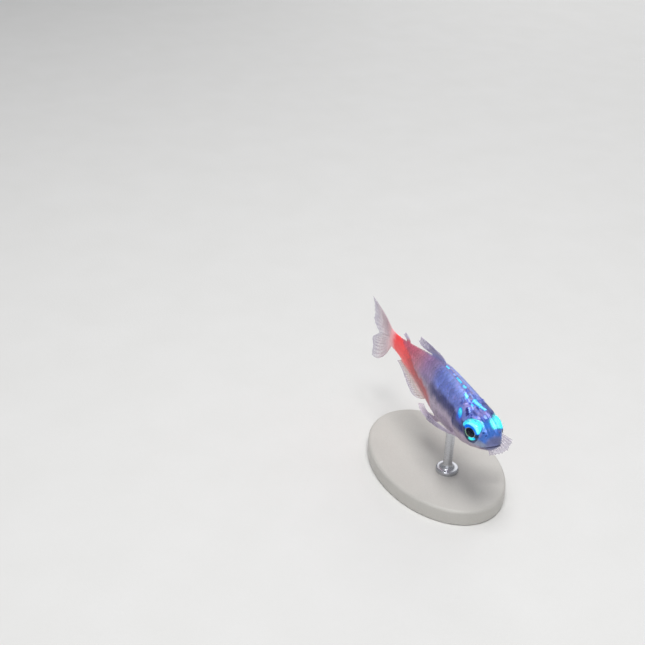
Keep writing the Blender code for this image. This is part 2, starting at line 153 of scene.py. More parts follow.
# Paired fins: rays, ends of the base (pectoral s and z, pelvic s and y), and
# tips of the first and last rays as s, y and z
PECTORAL_RAYS = 11
PECTORAL_BASE = ((6.9, -1.8), (7.5, -2.5))
PECTORAL_TIPS = {
    "left": ((4.9, 6.1, -4.0), (5.4, 3.2, -5.9)),
    "right": ((11.9, -2.45, -2.2), (12.0, -2.1, -3.5)),
}
PELVIC_RAYS = 8
PELVIC_BASE = ((12.1, 0.9), (12.9, 0.45))
PELVIC_TIPS = ((15.9, 1.5, -3.9), (16.3, 0.6, -3.7))

# Mounts under the paired fins: s and z, s and y
PECTORAL_MOUNT = (7.1, -2.1)
PELVIC_MOUNT = (12.5, 0.65)

# Fin membranes and rays
LENGTH_SPREAD = 0.012
EDGE_NOTCH = 0.032
SAG = 0.035
MEMBRANE_ROWS = 30
MEMBRANE_STEPS = 6
MEMBRANE_HALF = 0.035
MEMBRANE_THINNING = 0.02
RAY_ROWS = 34
RAY_SIDES = 7
FIRST_SPLIT = 0.42
SECOND_SPLIT = 0.68
RAY_RADIUS = 0.052
FIRST_RAY_RADIUS = 0.075
RAY_THINNING = 0.72
RAY_DARKENING = 0.9

# Stand: the base's edges, and the rod as heights over the base's top or
# depths under the tip, each with its radius
AXIS_RADIUS = 0.02
BASE_SIDES = 220
BASE_LOWER_ROUNDING = 0.25
BASE_UNDERSIDE_INSET = 0.3
BASE_UPPER_ROUNDING = 0.4
BASE_TOP_INSET = 1.2
ROD_SIDES = 72
ROD_FOOT_TOP = 0.35
ROD_FOOT_RADIUS = 1.5
ROD_FOOT_ROUNDING = 0.22
ROD_FOOT = ((-0.1, AXIS_RADIUS), (-0.1, ROD_FOOT_RADIUS), (ROD_FOOT_TOP, ROD_FOOT_RADIUS))
ROD_TAPER = ((0.57, 1.05), (0.66, 0.86), (0.95, 0.65), (1.2, 0.6))
ROD_NECK = ((0.9, 0.6), (0.85, 0.7), (0.55, 0.7), (0.5, 0.6), (0.0, 0.6), (0.0, AXIS_RADIUS))
ROD_INTO_FISH = 0.25

# Scales
SCALE_ROWS = 11
SCALE_COLUMNS = 34
FIRST_SCALE = 4.6
LAST_SCALE = 26.3
ROW_EVENING = 0.19
SCALE_THICKNESS = 0.02
SCALE_GRID = (7, 9)
SCALE_SINK = 0.065
SCALE_LIFT = 0.07
SCALE_CURL = 0.025
SCALE_MAP_PATCH = 0.003

# Camera, fitted to the photo's picture of the fish
PHOTO_SIDE = 645
SENSOR = 36.0
CAMERA_AZIMUTH = math.radians(57.4)
CAMERA_ELEVATION = math.radians(32.6)
CAMERA_ROLL = math.radians(5.8)
CAMERA_DISTANCE = 0.150
PIXELS_PER_METRE = 7780.0
AIM_PIXEL = (440.3, 389.7)
AIM_BEHIND_SNOUT = 13.5
FOCAL_ROUNDS = 5
CLIP = (0.005, 10)


def smoothstep(low, high, value):
    share = np.clip((value - low) / (high - low), 0.0, 1.0)
    return share * share * (3 - 2 * share)


def bell(value, centre, width):
    return np.exp(-(((value - centre) / width) ** 2))


def between(value, low, high, soft):
    """1 where the value lies between low and high, with soft edges."""
    return smoothstep(low - soft, low + soft, value) * smoothstep(high + soft, high - soft, value)


def paint(red, green, blue):
    """A linear colour from the 0 to 255 values that a screen shows."""
    shown = np.array((red, green, blue)) / 255
    return np.where(shown <= 0.04045, shown / 12.92, ((shown + 0.055) / 1.055) ** 2.4)


def blend(colour, other, share):
    share = np.asarray(share)[..., None]
    return colour + (other - colour) * share


def layered(colour, *layers):
    """The colour under layers of (other colour, share), in this order."""
    for other, share in layers:
        colour = blend(colour, other, share)
    return colour


def spread_over(colour, shape):
    """The same colour for each of an array of places."""
    return np.broadcast_to(colour, (*shape, 3))


# The smooth body


def station_slopes():
    last = len(STATIONS) - 1
    order = np.arange(last + 1)
    ahead = STATIONS[np.minimum(order + 1, last)]
    behind = STATIONS[np.maximum(order - 1, 0)]
    return (ahead - behind) / (ahead[:, :1] - behind[:, :1])


SLOPES = station_slopes()


def outline(s):
    """Back, underside and half width of the body at distance s."""
    share = np.clip(np.asarray(s, float) / STANDARD_LENGTH, 0, 1)
    i = np.clip(np.searchsorted(STATIONS[:, 0], share, "right") - 1, 0, len(STATIONS) - 2)
    start, end = STATIONS[i], STATIONS[i + 1]
    width = (end - start)[..., :1]
    t = (share[..., None] - start[..., :1]) / width
    curve = (1 + 2 * t) * (1 - t) ** 2 * start + t * t * (3 - 2 * t) * end
    curve += width * (t * (1 - t) ** 2 * SLOPES[i] + t * t * (t - 1) * SLOPES[i + 1])
    return tuple(curve[..., c] * STANDARD_LENGTH for c in (1, 2, 3))


def squareness(s):
    share = smoothstep(*SQUARENESS_CHANGE, s / STANDARD_LENGTH)
    return HEAD_SQUARENESS + (TRUNK_SQUARENESS - HEAD_SQUARENESS) * share


def widest_level(s):
    back, belly, _ = outline(s)
    return 0.5 * (back + belly) + WIDEST_LEVEL * (back - belly)


def section(s, angle):
    """y and z of the body's surface."""
    back, belly, half = outline(s)
    level = widest_level(s)
    power = squareness(s)
    across, up = np.cos(angle), np.sin(angle)
    reach = np.where(up > 0, back - level, level - belly)
    nose = 1 - np.clip((s - NOSE_START) / NOSE_ROUNDING, 0, 1)
    narrow = np.sqrt(1 - nose * nose)
    beyond = np.clip((s - STANDARD_LENGTH) / TAIL_WEDGE, 0, 1)
    wide = half * narrow * (1 - WEDGE_NARROWING * beyond)
    tall = reach * narrow * (1 - WEDGE_LOWERING * beyond * beyond)
    y = wide * np.sign(across) * np.abs(across) ** power
    return y, level + tall * np.sign(up) * np.abs(up) ** power


def flank(s, z):
    """Half width of the body at distance s and height z."""
    back, belly, half = outline(s)
    level = widest_level(s)
    reach = np.where(z > level, back - level, level - belly)
    power = squareness(s)
    up = np.minimum(1.0, np.abs(z - level) / reach) ** (1 / power)
    return half * np.sqrt(1 - up * up) ** power


def place(s, y, z):
    """A point in the fish's own axes, with x towards the snout."""
    return np.stack(np.broadcast_arrays(-np.asarray(s, float), y, z), axis=-1)


def surface(s, angle):
    """Points of the smooth body, and the directions that point out of it."""
    step = 0.004
    here = place(s, *section(s, angle))
    along = place(s + step, *section(s + step, angle)) - place(s - step, *section(s - step, angle))
    around = place(s, *section(s, angle + step)) - place(s, *section(s, angle - step))
    out = np.cross(along, around)
    out /= np.linalg.norm(out, axis=-1, keepdims=True) + 1e-12
    return here, out


def to_world(points):
    return (points + (TOTAL_LENGTH / 2, 0, SWIM_HEIGHT)) * MM


def gill_edge(angle):
    side = np.cos(angle) ** 2
    end = np.where(np.sin(angle) > 0, GILL_AT_BACK, GILL_AT_THROAT)
    return end + (GILL_AT_SIDE - end) * side


def down_from_back(angle):
    """Degrees down either side from the middle of the back."""
    turn = np.degrees(angle) - 90
    return np.abs((turn + 180) % 360 - 180)


def to_the_right(angle):
    """Degrees from the middle of the back, positive on the right side."""
    return (np.degrees(angle) - 90 + 180) % 360 - 180


# Mesh helpers


def ring_faces(rows, columns):
    """Quads of a tube of rings, as vertex numbers."""
    row, column = np.meshgrid(np.arange(rows - 1), np.arange(columns), indexing="ij")
    a = row * columns + column
    b = row * columns + (column + 1) % columns
    return np.stack((a, b, b + columns, a + columns), axis=-1).reshape(-1, 4)


def sheet_faces(rows, columns):
    """Quads of a thin closed sheet whose two faces are grids of points, one
    after the other in the list."""
    size = rows * columns
    row, column = np.meshgrid(np.arange(rows - 1), np.arange(columns - 1), indexing="ij")
    a = (row * columns + column).ravel()
    top = np.stack((a, a + 1, a + 1 + columns, a + columns), axis=-1)
    edge = list(range(columns))
    edge += [r * columns + columns - 1 for r in range(1, rows)]
    edge += [size - 1 - c for c in range(1, columns)]
    edge += [r * columns for r in range(rows - 2, 0, -1)]
    edge = np.array(edge)
    after = np.roll(edge, -1)
    rim = np.stack((after, edge, edge + size, after + size), axis=-1)
    return np.concatenate((top, top[:, ::-1] + size, rim))


def repeated(faces, size, count):
    """The same faces for each of count pieces of size points."""
    shift = np.arange(count)[:, None, None] * size
    return (faces[None] + shift).reshape(-1, faces.shape[1])


def facing_out(points, quads):
    """True if the quads enclose their volume with their normals outwards."""
    centred = points - points.mean(axis=0)
    a, b, c, d = (centred[quads[:, k]] for k in range(4))
    volume = (a * np.cross(b, c)).sum() + (a * np.cross(c, d)).sum()
    return volume > 0


def add_piece(name, points, quads, look, caps=(), sharp=None):
    """A closed piece from points in the fish's axes."""
    faces = quads.tolist() + [list(cap) for cap in caps]
    if not facing_out(points, quads):
        faces = [face[::-1] for face in faces]
    mesh = bpy.data.meshes.new(name)
    mesh.from_pydata(to_world(points).tolist(), [], faces)
    mesh.shade_smooth()
    if sharp:
        mesh.set_sharp_from_angle(angle=math.radians(sharp))
    mesh.materials.append(look)
    made = bpy.data.objects.new(name, mesh)
    bpy.context.scene.collection.objects.link(made)
    return made


def end_caps(rows, columns, first=0):
    last = first + (rows - 1) * columns
    return [range(first + columns - 1, first - 1, -1), range(last, last + columns)]


def set_colour(piece, colours):
    values = np.ones((len(colours), 4))
    values[:, :3] = np.clip(colours, 0, 1)
    made = piece.data.attributes.new("tint", "FLOAT_COLOR", "POINT")
    made.data.foreach_set("color", values.ravel())


def set_number(piece, name, numbers):
    made = piece.data.attributes.new(name, "FLOAT", "POINT")
    made.data.foreach_set("value", np.clip(numbers, 0, 1).ravel())


def set_bake_map(piece, u, v):
    """The map that the skin and its scales share, one value for each point.
    A face that crosses the seam is drawn past the map's end."""
    mesh = piece.data
    loops = np.empty(len(mesh.loops), dtype=np.int32)
    mesh.loops.foreach_get("vertex_index", loops)
    starts = np.empty(len(mesh.polygons), dtype=np.int32)
    mesh.polygons.foreach_get("loop_start", starts)
    flat = np.stack((u[loops], v[loops]), axis=-1)
    seam = np.maximum.reduceat(flat[:, 1], starts) - np.minimum.reduceat(flat[:, 1], starts) > 0.5
    counts = np.diff(np.append(starts, len(loops)))
    crossing = np.repeat(seam, counts) & (flat[:, 1] < 0.5)
    flat[crossing, 1] += 1
    layer = mesh.uv_layers.new(name="OFBake")
    layer.data.foreach_set("uv", flat.ravel())


def attach(piece, slot, *nodes):
    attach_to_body(piece, BODY)
    if nodes:
        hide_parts(*nodes)


# Material helpers

# The part of a noise's range in which nearly all of it lies
NOISE_MIDDLE = (0.3, 0.7)

# Sockets of a colour mix
MIX_INPUTS = (0, 6, 7)
MIX_RESULT = 2


class Look:
    """A node material, with short ways to add the nodes used here."""

    def __init__(self, name):
        self.material = bpy.data.materials.new(name)
        self.material.use_nodes = True
        self.nodes = self.material.node_tree.nodes
        self.shader = self.nodes["Principled BSDF"]
        self.place = self.add("ShaderNodeTexCoord").outputs["Object"]

    def add(self, kind, **settings):
        node = self.nodes.new(kind)
        for key, value in settings.items():
            setattr(node, key, value)
        return node

    def join(self, source, target):
        self.material.node_tree.links.new(source, target)

    def set(self, **values):
        for key, value in values.items():
            self.shader.inputs[key.replace("_", " ")].default_value = value

    def drive(self, **sockets):
        """Joins each socket to the shader's input of that name."""
        for key, socket in sockets.items():
            self.join(socket, self.shader.inputs[key.replace("_", " ")])

    def attribute(self, name, output):
        return self.add("ShaderNodeAttribute", attribute_name=name).outputs[output]

    def noise(self, size, detail=4.0, stretch=None):
        """Noise whose grains are about size millimetres across."""
        node = self.add("ShaderNodeTexNoise")
        node.inputs["Scale"].default_value = 1 / (size * MM)
        node.inputs["Detail"].default_value = detail
        place = self.place
        if stretch:
            mapping = self.add("ShaderNodeMapping")
            mapping.inputs["Scale"].default_value = stretch
            self.join(place, mapping.inputs["Vector"])
            place = mapping.outputs["Vector"]
        self.join(place, node.inputs["Vector"])
        return node.outputs["Fac"]

    def cells(self, size):
        node = self.add("ShaderNodeTexVoronoi")
        node.inputs["Scale"].default_value = 1 / (size * MM)
        self.join(self.place, node.inputs["Vector"])
        return node.outputs["Distance"]

    def ranged(self, value, low, high, new_low, new_high):
        node = self.add("ShaderNodeMapRange")
        for key, number in zip(("From Min", "From Max", "To Min", "To Max"),
                               (low, high, new_low, new_high)):
            node.inputs[key].default_value = number
        self.join(value, node.inputs["Value"])
        return node.outputs["Result"]

    def uneven(self, noise, low, high):
        """A noise stretched to run from low to high."""
        return self.ranged(noise, *NOISE_MIDDLE, low, high)

    def product(self, a, b):
        node = self.add("ShaderNodeMath", operation="MULTIPLY")
        self.join(a, node.inputs[0])
        self.join(b, node.inputs[1])
        return node.outputs[0]

    def mixed(self, kind, share, a, b):
        """Two colours mixed, each a socket or a linear colour."""
        node = self.add("ShaderNodeMix", data_type="RGBA", blend_type=kind)
        for number, value in zip(MIX_INPUTS, (share, a, b)):
            socket = node.inputs[number]
            if isinstance(value, bpy.types.NodeSocket):
                self.join(value, socket)
            elif isinstance(value, float):
                socket.default_value = value
            else:
                socket.default_value = (*value, 1.0)
        return node.outputs[MIX_RESULT]

    def bump(self, height, depth):
        """Bump from a 0 to 1 height, depth in millimetres."""
        node = self.add("ShaderNodeBump")
        node.inputs["Distance"].default_value = depth * MM
        self.join(height, node.inputs["Height"])
        self.join(node.outputs["Normal"], self.shader.inputs["Normal"])


WHITE = (1.0, 1.0, 1.0)
BLACK = (0.0, 0.0, 0.0)
DOT_INK = paint(28, 26, 44)
FIN_HAZE = paint(215, 208, 226)
RAY_SPECK = paint(70, 62, 84)
IRIS_SHADE = paint(150, 190, 235)
CORNEA_TINT = paint(238, 244, 255)
LACQUER = (paint(196, 193, 187), paint(208, 205, 199))
LACQUER_GRAIN = paint(176, 172, 166)
STEEL = (paint(182, 184, 190), paint(212, 213, 217))
PAPER = (paint(226, 225, 222), paint(232, 231, 229))
# The glow is painted light: the bright marks, the red stalk and the iris give off light of their own
# colour
GLOW_STRENGTH = 0.5
# The fins' glow is painted light, standing in for light that comes through the thin membranes and rays
FIN_GLOW_STRENGTH = 0.18


def skin_look(name, grain):
    """Painted skin: colour, shine, glow and dots come from the mesh."""
    look = Look(name)
    tint = look.attribute("tint", "Color")
    mottle = look.uneven(look.noise(grain, 6), 0.86, 1.14)
    grey = look.add("ShaderNodeCombineColor")
    for channel in grey.inputs:
        look.join(mottle, channel)
    colour = look.mixed("MULTIPLY", 1.0, tint, grey.outputs[0])
    spots = look.ranged(look.cells(0.13), 0.12, 0.34, 1.0, 0.0)
    colour = look.mixed("MIX", look.product(spots, look.attribute("dots", "Fac")), colour, DOT_INK)
    rough = look.uneven(look.noise(0.25, 3), 0.26, 0.42)
    glow = look.mixed("MIX", look.attribute("glow", "Fac"), BLACK, tint)
    shine = look.attribute("shine", "Fac")
    look.drive(Base_Color=colour, Metallic=shine, Roughness=rough, Emission_Color=glow)
    look.set(Emission_Strength=GLOW_STRENGTH, Specular_IOR_Level=0.36)
    look.set(Coat_Weight=0.18, Coat_Roughness=0.22, Coat_IOR=1.4)
    look.bump(look.noise(0.08, 5), 0.004)
    return look.material


def fin_look():
    look = Look("fin_membrane")
    cloud = look.uneven(look.noise(0.5, 5), 0.0, 0.3)
    colour = look.mixed("MIX", cloud, look.attribute("tint", "Color"), FIN_HAZE)
    thin = look.uneven(look.noise(0.3, 4), 0.75, 1.15)
    cover = look.product(thin, look.attribute("cover", "Fac"))
    look.drive(Base_Color=colour, Alpha=cover, Emission_Color=colour)
    look.set(Roughness=0.3, Coat_Weight=0.3, Coat_Roughness=0.15)
    look.set(Emission_Strength=FIN_GLOW_STRENGTH)
    look.bump(look.noise(0.12, 4), 0.008)
    return look.material


def ray_look():
    look = Look("fin_rays")
    specks = look.ranged(look.cells(0.24), 0.1, 0.18, 0.3, 0.0)
    colour = look.mixed("MIX", specks, look.attribute("tint", "Color"), RAY_SPECK)
    look.drive(Base_Color=colour, Alpha=look.attribute("cover", "Fac"), Emission_Color=colour)
    look.set(Roughness=0.34, Coat_Weight=0.3, Coat_Roughness=0.2)
    look.set(Emission_Strength=FIN_GLOW_STRENGTH)
    look.bump(look.noise(0.06, 3), 0.004)
    return look.material


def eye_look():
    look = Look("eye_iris")
    tint = look.attribute("tint", "Color")
    fleck = look.uneven(look.noise(0.09, 5), 0.0, 0.4)
    deeper = look.mixed("MULTIPLY", 1.0, tint, IRIS_SHADE)
    colour = look.mixed("MIX", fleck, tint, deeper)
    glow = look.mixed("MIX", look.attribute("glow", "Fac"), BLACK, tint)
    look.drive(Base_Color=colour, Metallic=look.attribute("shine", "Fac"), Emission_Color=glow)
    look.set(Roughness=0.3, Specular_IOR_Level=0.06, Emission_Strength=GLOW_STRENGTH)
    look.bump(look.noise(0.2, 2), 0.004)
    return look.material


def cornea_look():
    """Clear and glossy: a mirror so thin that it only adds its reflection."""
    look = Look("eye_cornea")
    film = look.uneven(look.noise(0.4, 2), 0.018, 0.034)
    tint = look.mixed("MIX", look.noise(0.3, 3), CORNEA_TINT, WHITE)
    look.drive(Base_Color=tint, Alpha=film)
    look.set(Metallic=1.0, Roughness=0.04)
    return look.material


def stand_base_look():
    look = Look("stand_base_lacquer")
    cloud = look.noise(3.0, 6)
    colour = look.mixed("MIX", cloud, *LACQUER)
    grain = look.ranged(look.noise(0.12, 6), 0.35, 0.65, 0.0, 0.25)
    colour = look.mixed("MIX", grain, colour, LACQUER_GRAIN)
    look.drive(Base_Color=colour, Roughness=look.uneven(cloud, 0.38, 0.5))
    look.bump(look.noise(0.1, 5), 0.01)
    return look.material


def stand_rod_look():
    look = Look("stand_rod_steel")
    brushed = look.noise(0.25, 5, stretch=(1, 1, 14))
    colour = look.mixed("MIX", brushed, *STEEL)
    look.drive(Base_Color=colour, Roughness=look.uneven(brushed, 0.22, 0.36))
    look.set(Metallic=1.0)
    look.bump(brushed, 0.004)
    return look.material


# Markings


RED_EDGE_S = (13.2, 17.2, 19.0, 19.9, 21.2, 22.8, 24.2, 25.0)
RED_EDGE_DOWN = (100, 92, 86, 74, 56, 38, 4, -20)
BACK_GREY = paint(116, 118, 174)
BLUE = paint(124, 140, 218)
BLUE_BRIGHT = paint(152, 174, 246)
VIOLET = paint(156, 132, 180)
MAUVE = paint(204, 104, 126)
INDIGO = paint(34, 42, 110)
BELLY = paint(184, 168, 190)
THROAT = paint(168, 154, 166)
RED = paint(246, 78, 80)
RED_AHEAD = paint(188, 66, 74)
DUSKY_RED = paint(174, 78, 80)
ORANGE = paint(206, 110, 90)
STALK_WHITE = paint(238, 178, 184)
SNOUT = paint(66, 116, 204)
SNOUT_TIP = paint(116, 118, 158)
JAW = paint(146, 156, 184)
LAVENDER = paint(164, 152, 220)
ROYAL = paint(64, 84, 214)
CYAN = paint(84, 244, 255)
BROW_EDGE = paint(70, 214, 226)
PALE_CYAN = paint(176, 255, 248)
AZURE = paint(0, 142, 252)
DEEP_SLIT = paint(38, 38, 108)
DEEP_BLUE = paint(44, 70, 156)
CROWN_SHADE = paint(46, 60, 112)
GLINT_BLUE = paint(70, 206, 255)
FROST_GLINT = paint(160, 192, 255)
EYE_DEEP = paint(20, 40, 82)
EYE_GREY = paint(92, 104, 138)
EYE_BLUE = paint(0, 118, 240)
EYE_GREEN = paint(60, 240, 222)
EYE_SKY = paint(0, 170, 250)
EYE_LIME = paint(150, 206, 120)
EYE_RING = paint(186, 210, 214)
EYE_BLACK = paint(2, 12, 30)

# Noise that breaks up the colours
CLOUD_SEED = 11
CLOUD_CELLS = 17
CLOUD_SHIFT = 100
CLOUD_SIZE = 0.27
GRAIN_SIZE = 0.11

# The reach of the brow's bright mark from the eye's centre, by degrees from
# the eye's top towards the snout
BROW_TURN = (-90, -60, -35, -17, 1, 29, 60)
RIGHT_BROW_REACH = (1.56, 1.59, 1.6, 1.52, 1.42, 1.37, 1.38)
LEFT_BROW_REACH = (1.56, 1.6, 1.62, 1.58, 1.49, 1.47, 1.66)
BROW_FRONT_END = 66
BROW_REAR_END = -84

# Painted glints, bright dashes of reflected light on the back: s and degrees
# towards the right side at each end, half width in degrees, strength
PAINTED_GLINTS = (
    (12.45, 2, 11.9, 2, 4.0, 0.85),
    (9.8, 2, 8.8, 2, 3.0, 0.85),
    (8.2, 2, 7.85, 0, 4.4, 1.0),
    (6.85, 13, 6.4, 14, 4.6, 1.0),
    (5.1, 14, 4.95, 14, 3.6, 0.8),
    (5.5, 2, 4.7, -4, 5.6, 1.0),
    (4.45, -5, 3.95, -11, 5.2, 1.0),
)
# Paler painted glints, whitish dashes of reflected light, in the same columns
PAINTED_FROST_GLINTS = (
    (11.4, 3, 11.1, 3, 3.0, 0.5),
    (10.6, 2, 10.2, 2, 3.2, 0.8),
    (7.35, 0, 7.1, 0, 4.0, 0.5),
    (7.15, 10, 6.9, 11, 3.6, 0.7),
    (6.6, 1, 5.9, -2, 2.8, 0.7),
    (6.5, 29, 6.2, 31, 3.4, 0.6),
    (6.2, -9, 5.5, -13, 2.8, 0.6),
    (6.1, 16, 5.5, 14, 2.8, 0.6),
    (5.0, 17, 4.5, 18, 2.8, 0.8),
    (4.85, 28, 4.35, 33, 3.4, 0.8),
    (3.1, -1, 2.8, -1, 3.4, 0.9),
    (2.9, 9, 2.5, 8, 2.8, 0.5),
)
SLIT = ((4.95, 35, 4.3, 43, 6.0, 1.0),)


def wobble(s, down):
    """A slow uneven value from -1 to 1 that breaks up the markings' edges."""
    a = np.sin(2.1 * s + 0.09 * down)
    b = np.sin(3.7 * s - 0.13 * down + 1.3)
    c = np.sin(0.9 * s + 0.21 * down + 4.0)
    return (a + b + c) / 3


def clouds(s, y, z, size):
    """Soft noise from 0 to 1 whose blotches are about size millimetres."""
    lattice = np.random.default_rng(CLOUD_SEED).random((CLOUD_CELLS,) * 3)
    place = np.stack(np.broadcast_arrays(s, y, z), axis=-1) / size + CLOUD_SHIFT
    cell = np.floor(place).astype(int)
    part = place - cell
    part = part * part * (3 - 2 * part)
    total = 0
    for corner in np.ndindex(2, 2, 2):
        share = np.prod(np.where(np.array(corner) == 1, part, 1 - part), axis=-1)
        i, j, k = np.moveaxis((cell + corner) % CLOUD_CELLS, -1, 0)
        total = total + share * lattice[i, j, k]
    return total


def dashes(s, turn, grain, marks):
    """How much of each place is covered by the dashes in the list. The grain,
    from 0 to 1, makes their edges uneven."""
    lit = 0
    for s_a, turn_a, s_b, turn_b, half, strength in marks:
        along = np.clip((s - s_a) / (s_b - s_a), 0, 1)
        off_s = s - (s_a + (s_b - s_a) * along)
        off_turn = turn - (turn_a + (turn_b - turn_a) * along)
        away = np.hypot(off_s / 0.15, off_turn / half) + 0.9 * (grain - 0.5)
        lit = np.maximum(lit, strength * smoothstep(1.8, 0.3, away))
    return lit


def brow_light(s, y, z, grain):
    """How far inside the bright mark over the eye a place lies, and how far
    towards its rear end."""
    back, up = s - EYE_BEHIND_SNOUT, z - EYE_LEVEL
    away = np.hypot(back, up)
    ahead = np.degrees(np.arctan2(-back, up))
    right_reach = np.interp(ahead, BROW_TURN, RIGHT_BROW_REACH)
    left_reach = np.interp(ahead, BROW_TURN, LEFT_BROW_REACH)
    reach = np.where(y > 0, left_reach, right_reach)
    inside = smoothstep(0.07, -0.17, away - reach + 0.1 * (grain - 0.5))
    inside = inside * smoothstep(0.02, 0.3, np.abs(y))
    inside = inside * between(ahead + 10 * (grain - 0.5), BROW_REAR_END, BROW_FRONT_END, 8)
    return inside, smoothstep(-30, -66, ahead)


def body_markings(s, down, cloud):
    """Colour, shine and glow of the trunk and stalk."""
    uneven = wobble(s, down)
    blue = between(down, 8, 72, 9) * smoothstep(15.5, 12.0, s)
    mauve_start = 14.2 + 0.8 * smoothstep(50, 85, down)
    level = down + 4 * uneven + 0.8 * (9 - s)
    dark = smoothstep(56, 74, level) * smoothstep(102, 80, level)
    dark_share = 0.7 * smoothstep(14.6, 12.0, s) + 0.22 * smoothstep(18.5, 14.0, s)
    red_top = np.interp(s, RED_EDGE_S, RED_EDGE_DOWN) + 5 * uneven
    soft = 8 + 8 * smoothstep(19, 22.5, s)
    inside = smoothstep(red_top - soft, red_top + soft, down) * smoothstep(12.8, 14.2, s)
    low = smoothstep(112, 150, down) * smoothstep(19.5, 15.0, s)
    colour = layered(
        spread_over(BELLY, np.shape(s)),
        (BLUE, blue),
        (BLUE_BRIGHT, between(down, 10, 30, 9) * between(s, 6.5, 11.5, 2.0) * 0.7),
        (VIOLET, between(down, -30, 84, 10) * between(s, 13.4, 17.5, 2.0)),
        (MAUVE, between(down, -30, 90, 10) * smoothstep(mauve_start, 20.8, s)),
        (BACK_GREY, smoothstep(13, 3, down) * smoothstep(19.5, 16, s) * 0.6),
        (LAVENDER, smoothstep(0.55, 0.8, cloud) * blue * 0.35),
        (ROYAL, smoothstep(0.45, 0.2, cloud) * blue * 0.2),
        (INDIGO, dark * dark_share),
        (blend(RED_AHEAD, RED, smoothstep(17.5, 23.5, s)), inside * (1 - 0.75 * low)),
        (DUSKY_RED, smoothstep(105, 140, down) * between(s, 14.5, 19.5, 1.5) * 0.8),
        (ORANGE, smoothstep(140, 165, down) * between(s, 18.8, 22.5, 0.8) * 0.6),
        (STALK_WHITE, smoothstep(25.2, 26.7, s + 0.25 * uneven) * 0.85),
    )
    iridescent = between(down, 8, 72, 12) * smoothstep(21, 13, s)
    shine = 0.12 + 0.3 * iridescent
    glow = 0.10 * iridescent + 0.28 * inside * smoothstep(19, 23, s)
    return colour, shine, glow


def head_markings(s, down, y, z, cloud, grain):
    """Colour, shine and glow of the head."""
    front = smoothstep(3.4, 2.4, s)
    nape = smoothstep(74, 60, down) * smoothstep(2.6, 3.4, s)
    crown = nape * smoothstep(56, 40, down)
    behind_eye = between(down, 60, 84, 6) * between(s, 4.7, 6.0, 0.3)
    slit = dashes(s, down, grain, SLIT)
    patch = bell(down, 60, 13) * bell(s, 5.5 - 0.012 * (down - 60), 0.46) + 0.16 * (grain - 0.5)
    patch = smoothstep(0.2, 0.66, patch)
    brow, rear = brow_light(s, y, z, grain)
    core = smoothstep(0.4, 0.9, np.maximum(brow, 0.9 * patch * smoothstep(80, 56, down)))
    streaked = smoothstep(0.5, 0.72, cloud) * (1 - 0.6 * grain)
    colour = layered(
        spread_over(THROAT, np.shape(s)),
        (BELLY, smoothstep(150, 120, down) * 0.7),
        (INDIGO, between(down, 64, 102, 8) * smoothstep(3.0, 3.9, s) * 0.95),
        (JAW, smoothstep(128, 100, down) * front),
        (SNOUT, smoothstep(94, 74, down) * front),
        (LAVENDER, smoothstep(0.5, 0.78, cloud) * front * smoothstep(90, 60, down) * 0.5),
        (SNOUT_TIP, smoothstep(0.8, 0.35, s) * 0.9),
        (BLUE, nape),
        (LAVENDER, crown * smoothstep(0.52, 0.7, cloud) * 0.8),
        (ROYAL, crown * smoothstep(0.52, 0.36, cloud) * 0.55),
        (INDIGO, crown * smoothstep(0.42, 0.28, cloud) * 0.7),
        (ROYAL, behind_eye * 0.8),
        (DEEP_BLUE, bell(down, 10, 12) * bell(s, 2.7, 0.3) * 0.75),
        (DEEP_BLUE, bell(down, 23, 7) * between(s, 2.9, 4.3, 0.25) * (0.4 + 0.7 * cloud)),
        # Painted highlight: a lavender sheen on the crown
        (LAVENDER, bell(down, 4, 10) * bell(s, 3.45, 0.4) * (0.4 + 0.6 * grain)),
        (AZURE, bell(s, 1.85, 0.45) * bell(down, 0, 28) * (0.2 + 0.5 * grain)),
        (DEEP_SLIT, smoothstep(0.1, 0.9, slit) * 0.85),
        (blend(BROW_EDGE, AZURE, rear), smoothstep(0.0, 0.5, brow)),
        (AZURE, smoothstep(0.0, 0.5, patch)),
        (CYAN, core),
        (PALE_CYAN, core * smoothstep(0.35, 0.75, grain) * 0.7 * (1 - rear)),
        (AZURE, core * streaked * 0.5),
    )
    # Painted shade: each nostril pit is darkened with indigo
    for at in NOSTRILS:
        pit = np.hypot((s - at) / 0.09, (down - abs(math.degrees(NOSTRIL_ANGLE) - 90)) / 6.5)
        colour = blend(colour, INDIGO, smoothstep(1.4, 0.4, pit) * 0.55)
    cheek = between(down, 100, 135, 12) * between(s, 3.2, 6.2, 0.7)
    shine = 0.2 + 0.2 * nape + 0.3 * cheek
    glow = 0.06 * nape + 0.37 * np.maximum(brow, patch) * (1 - 0.4 * streaked)
    return colour, shine, glow


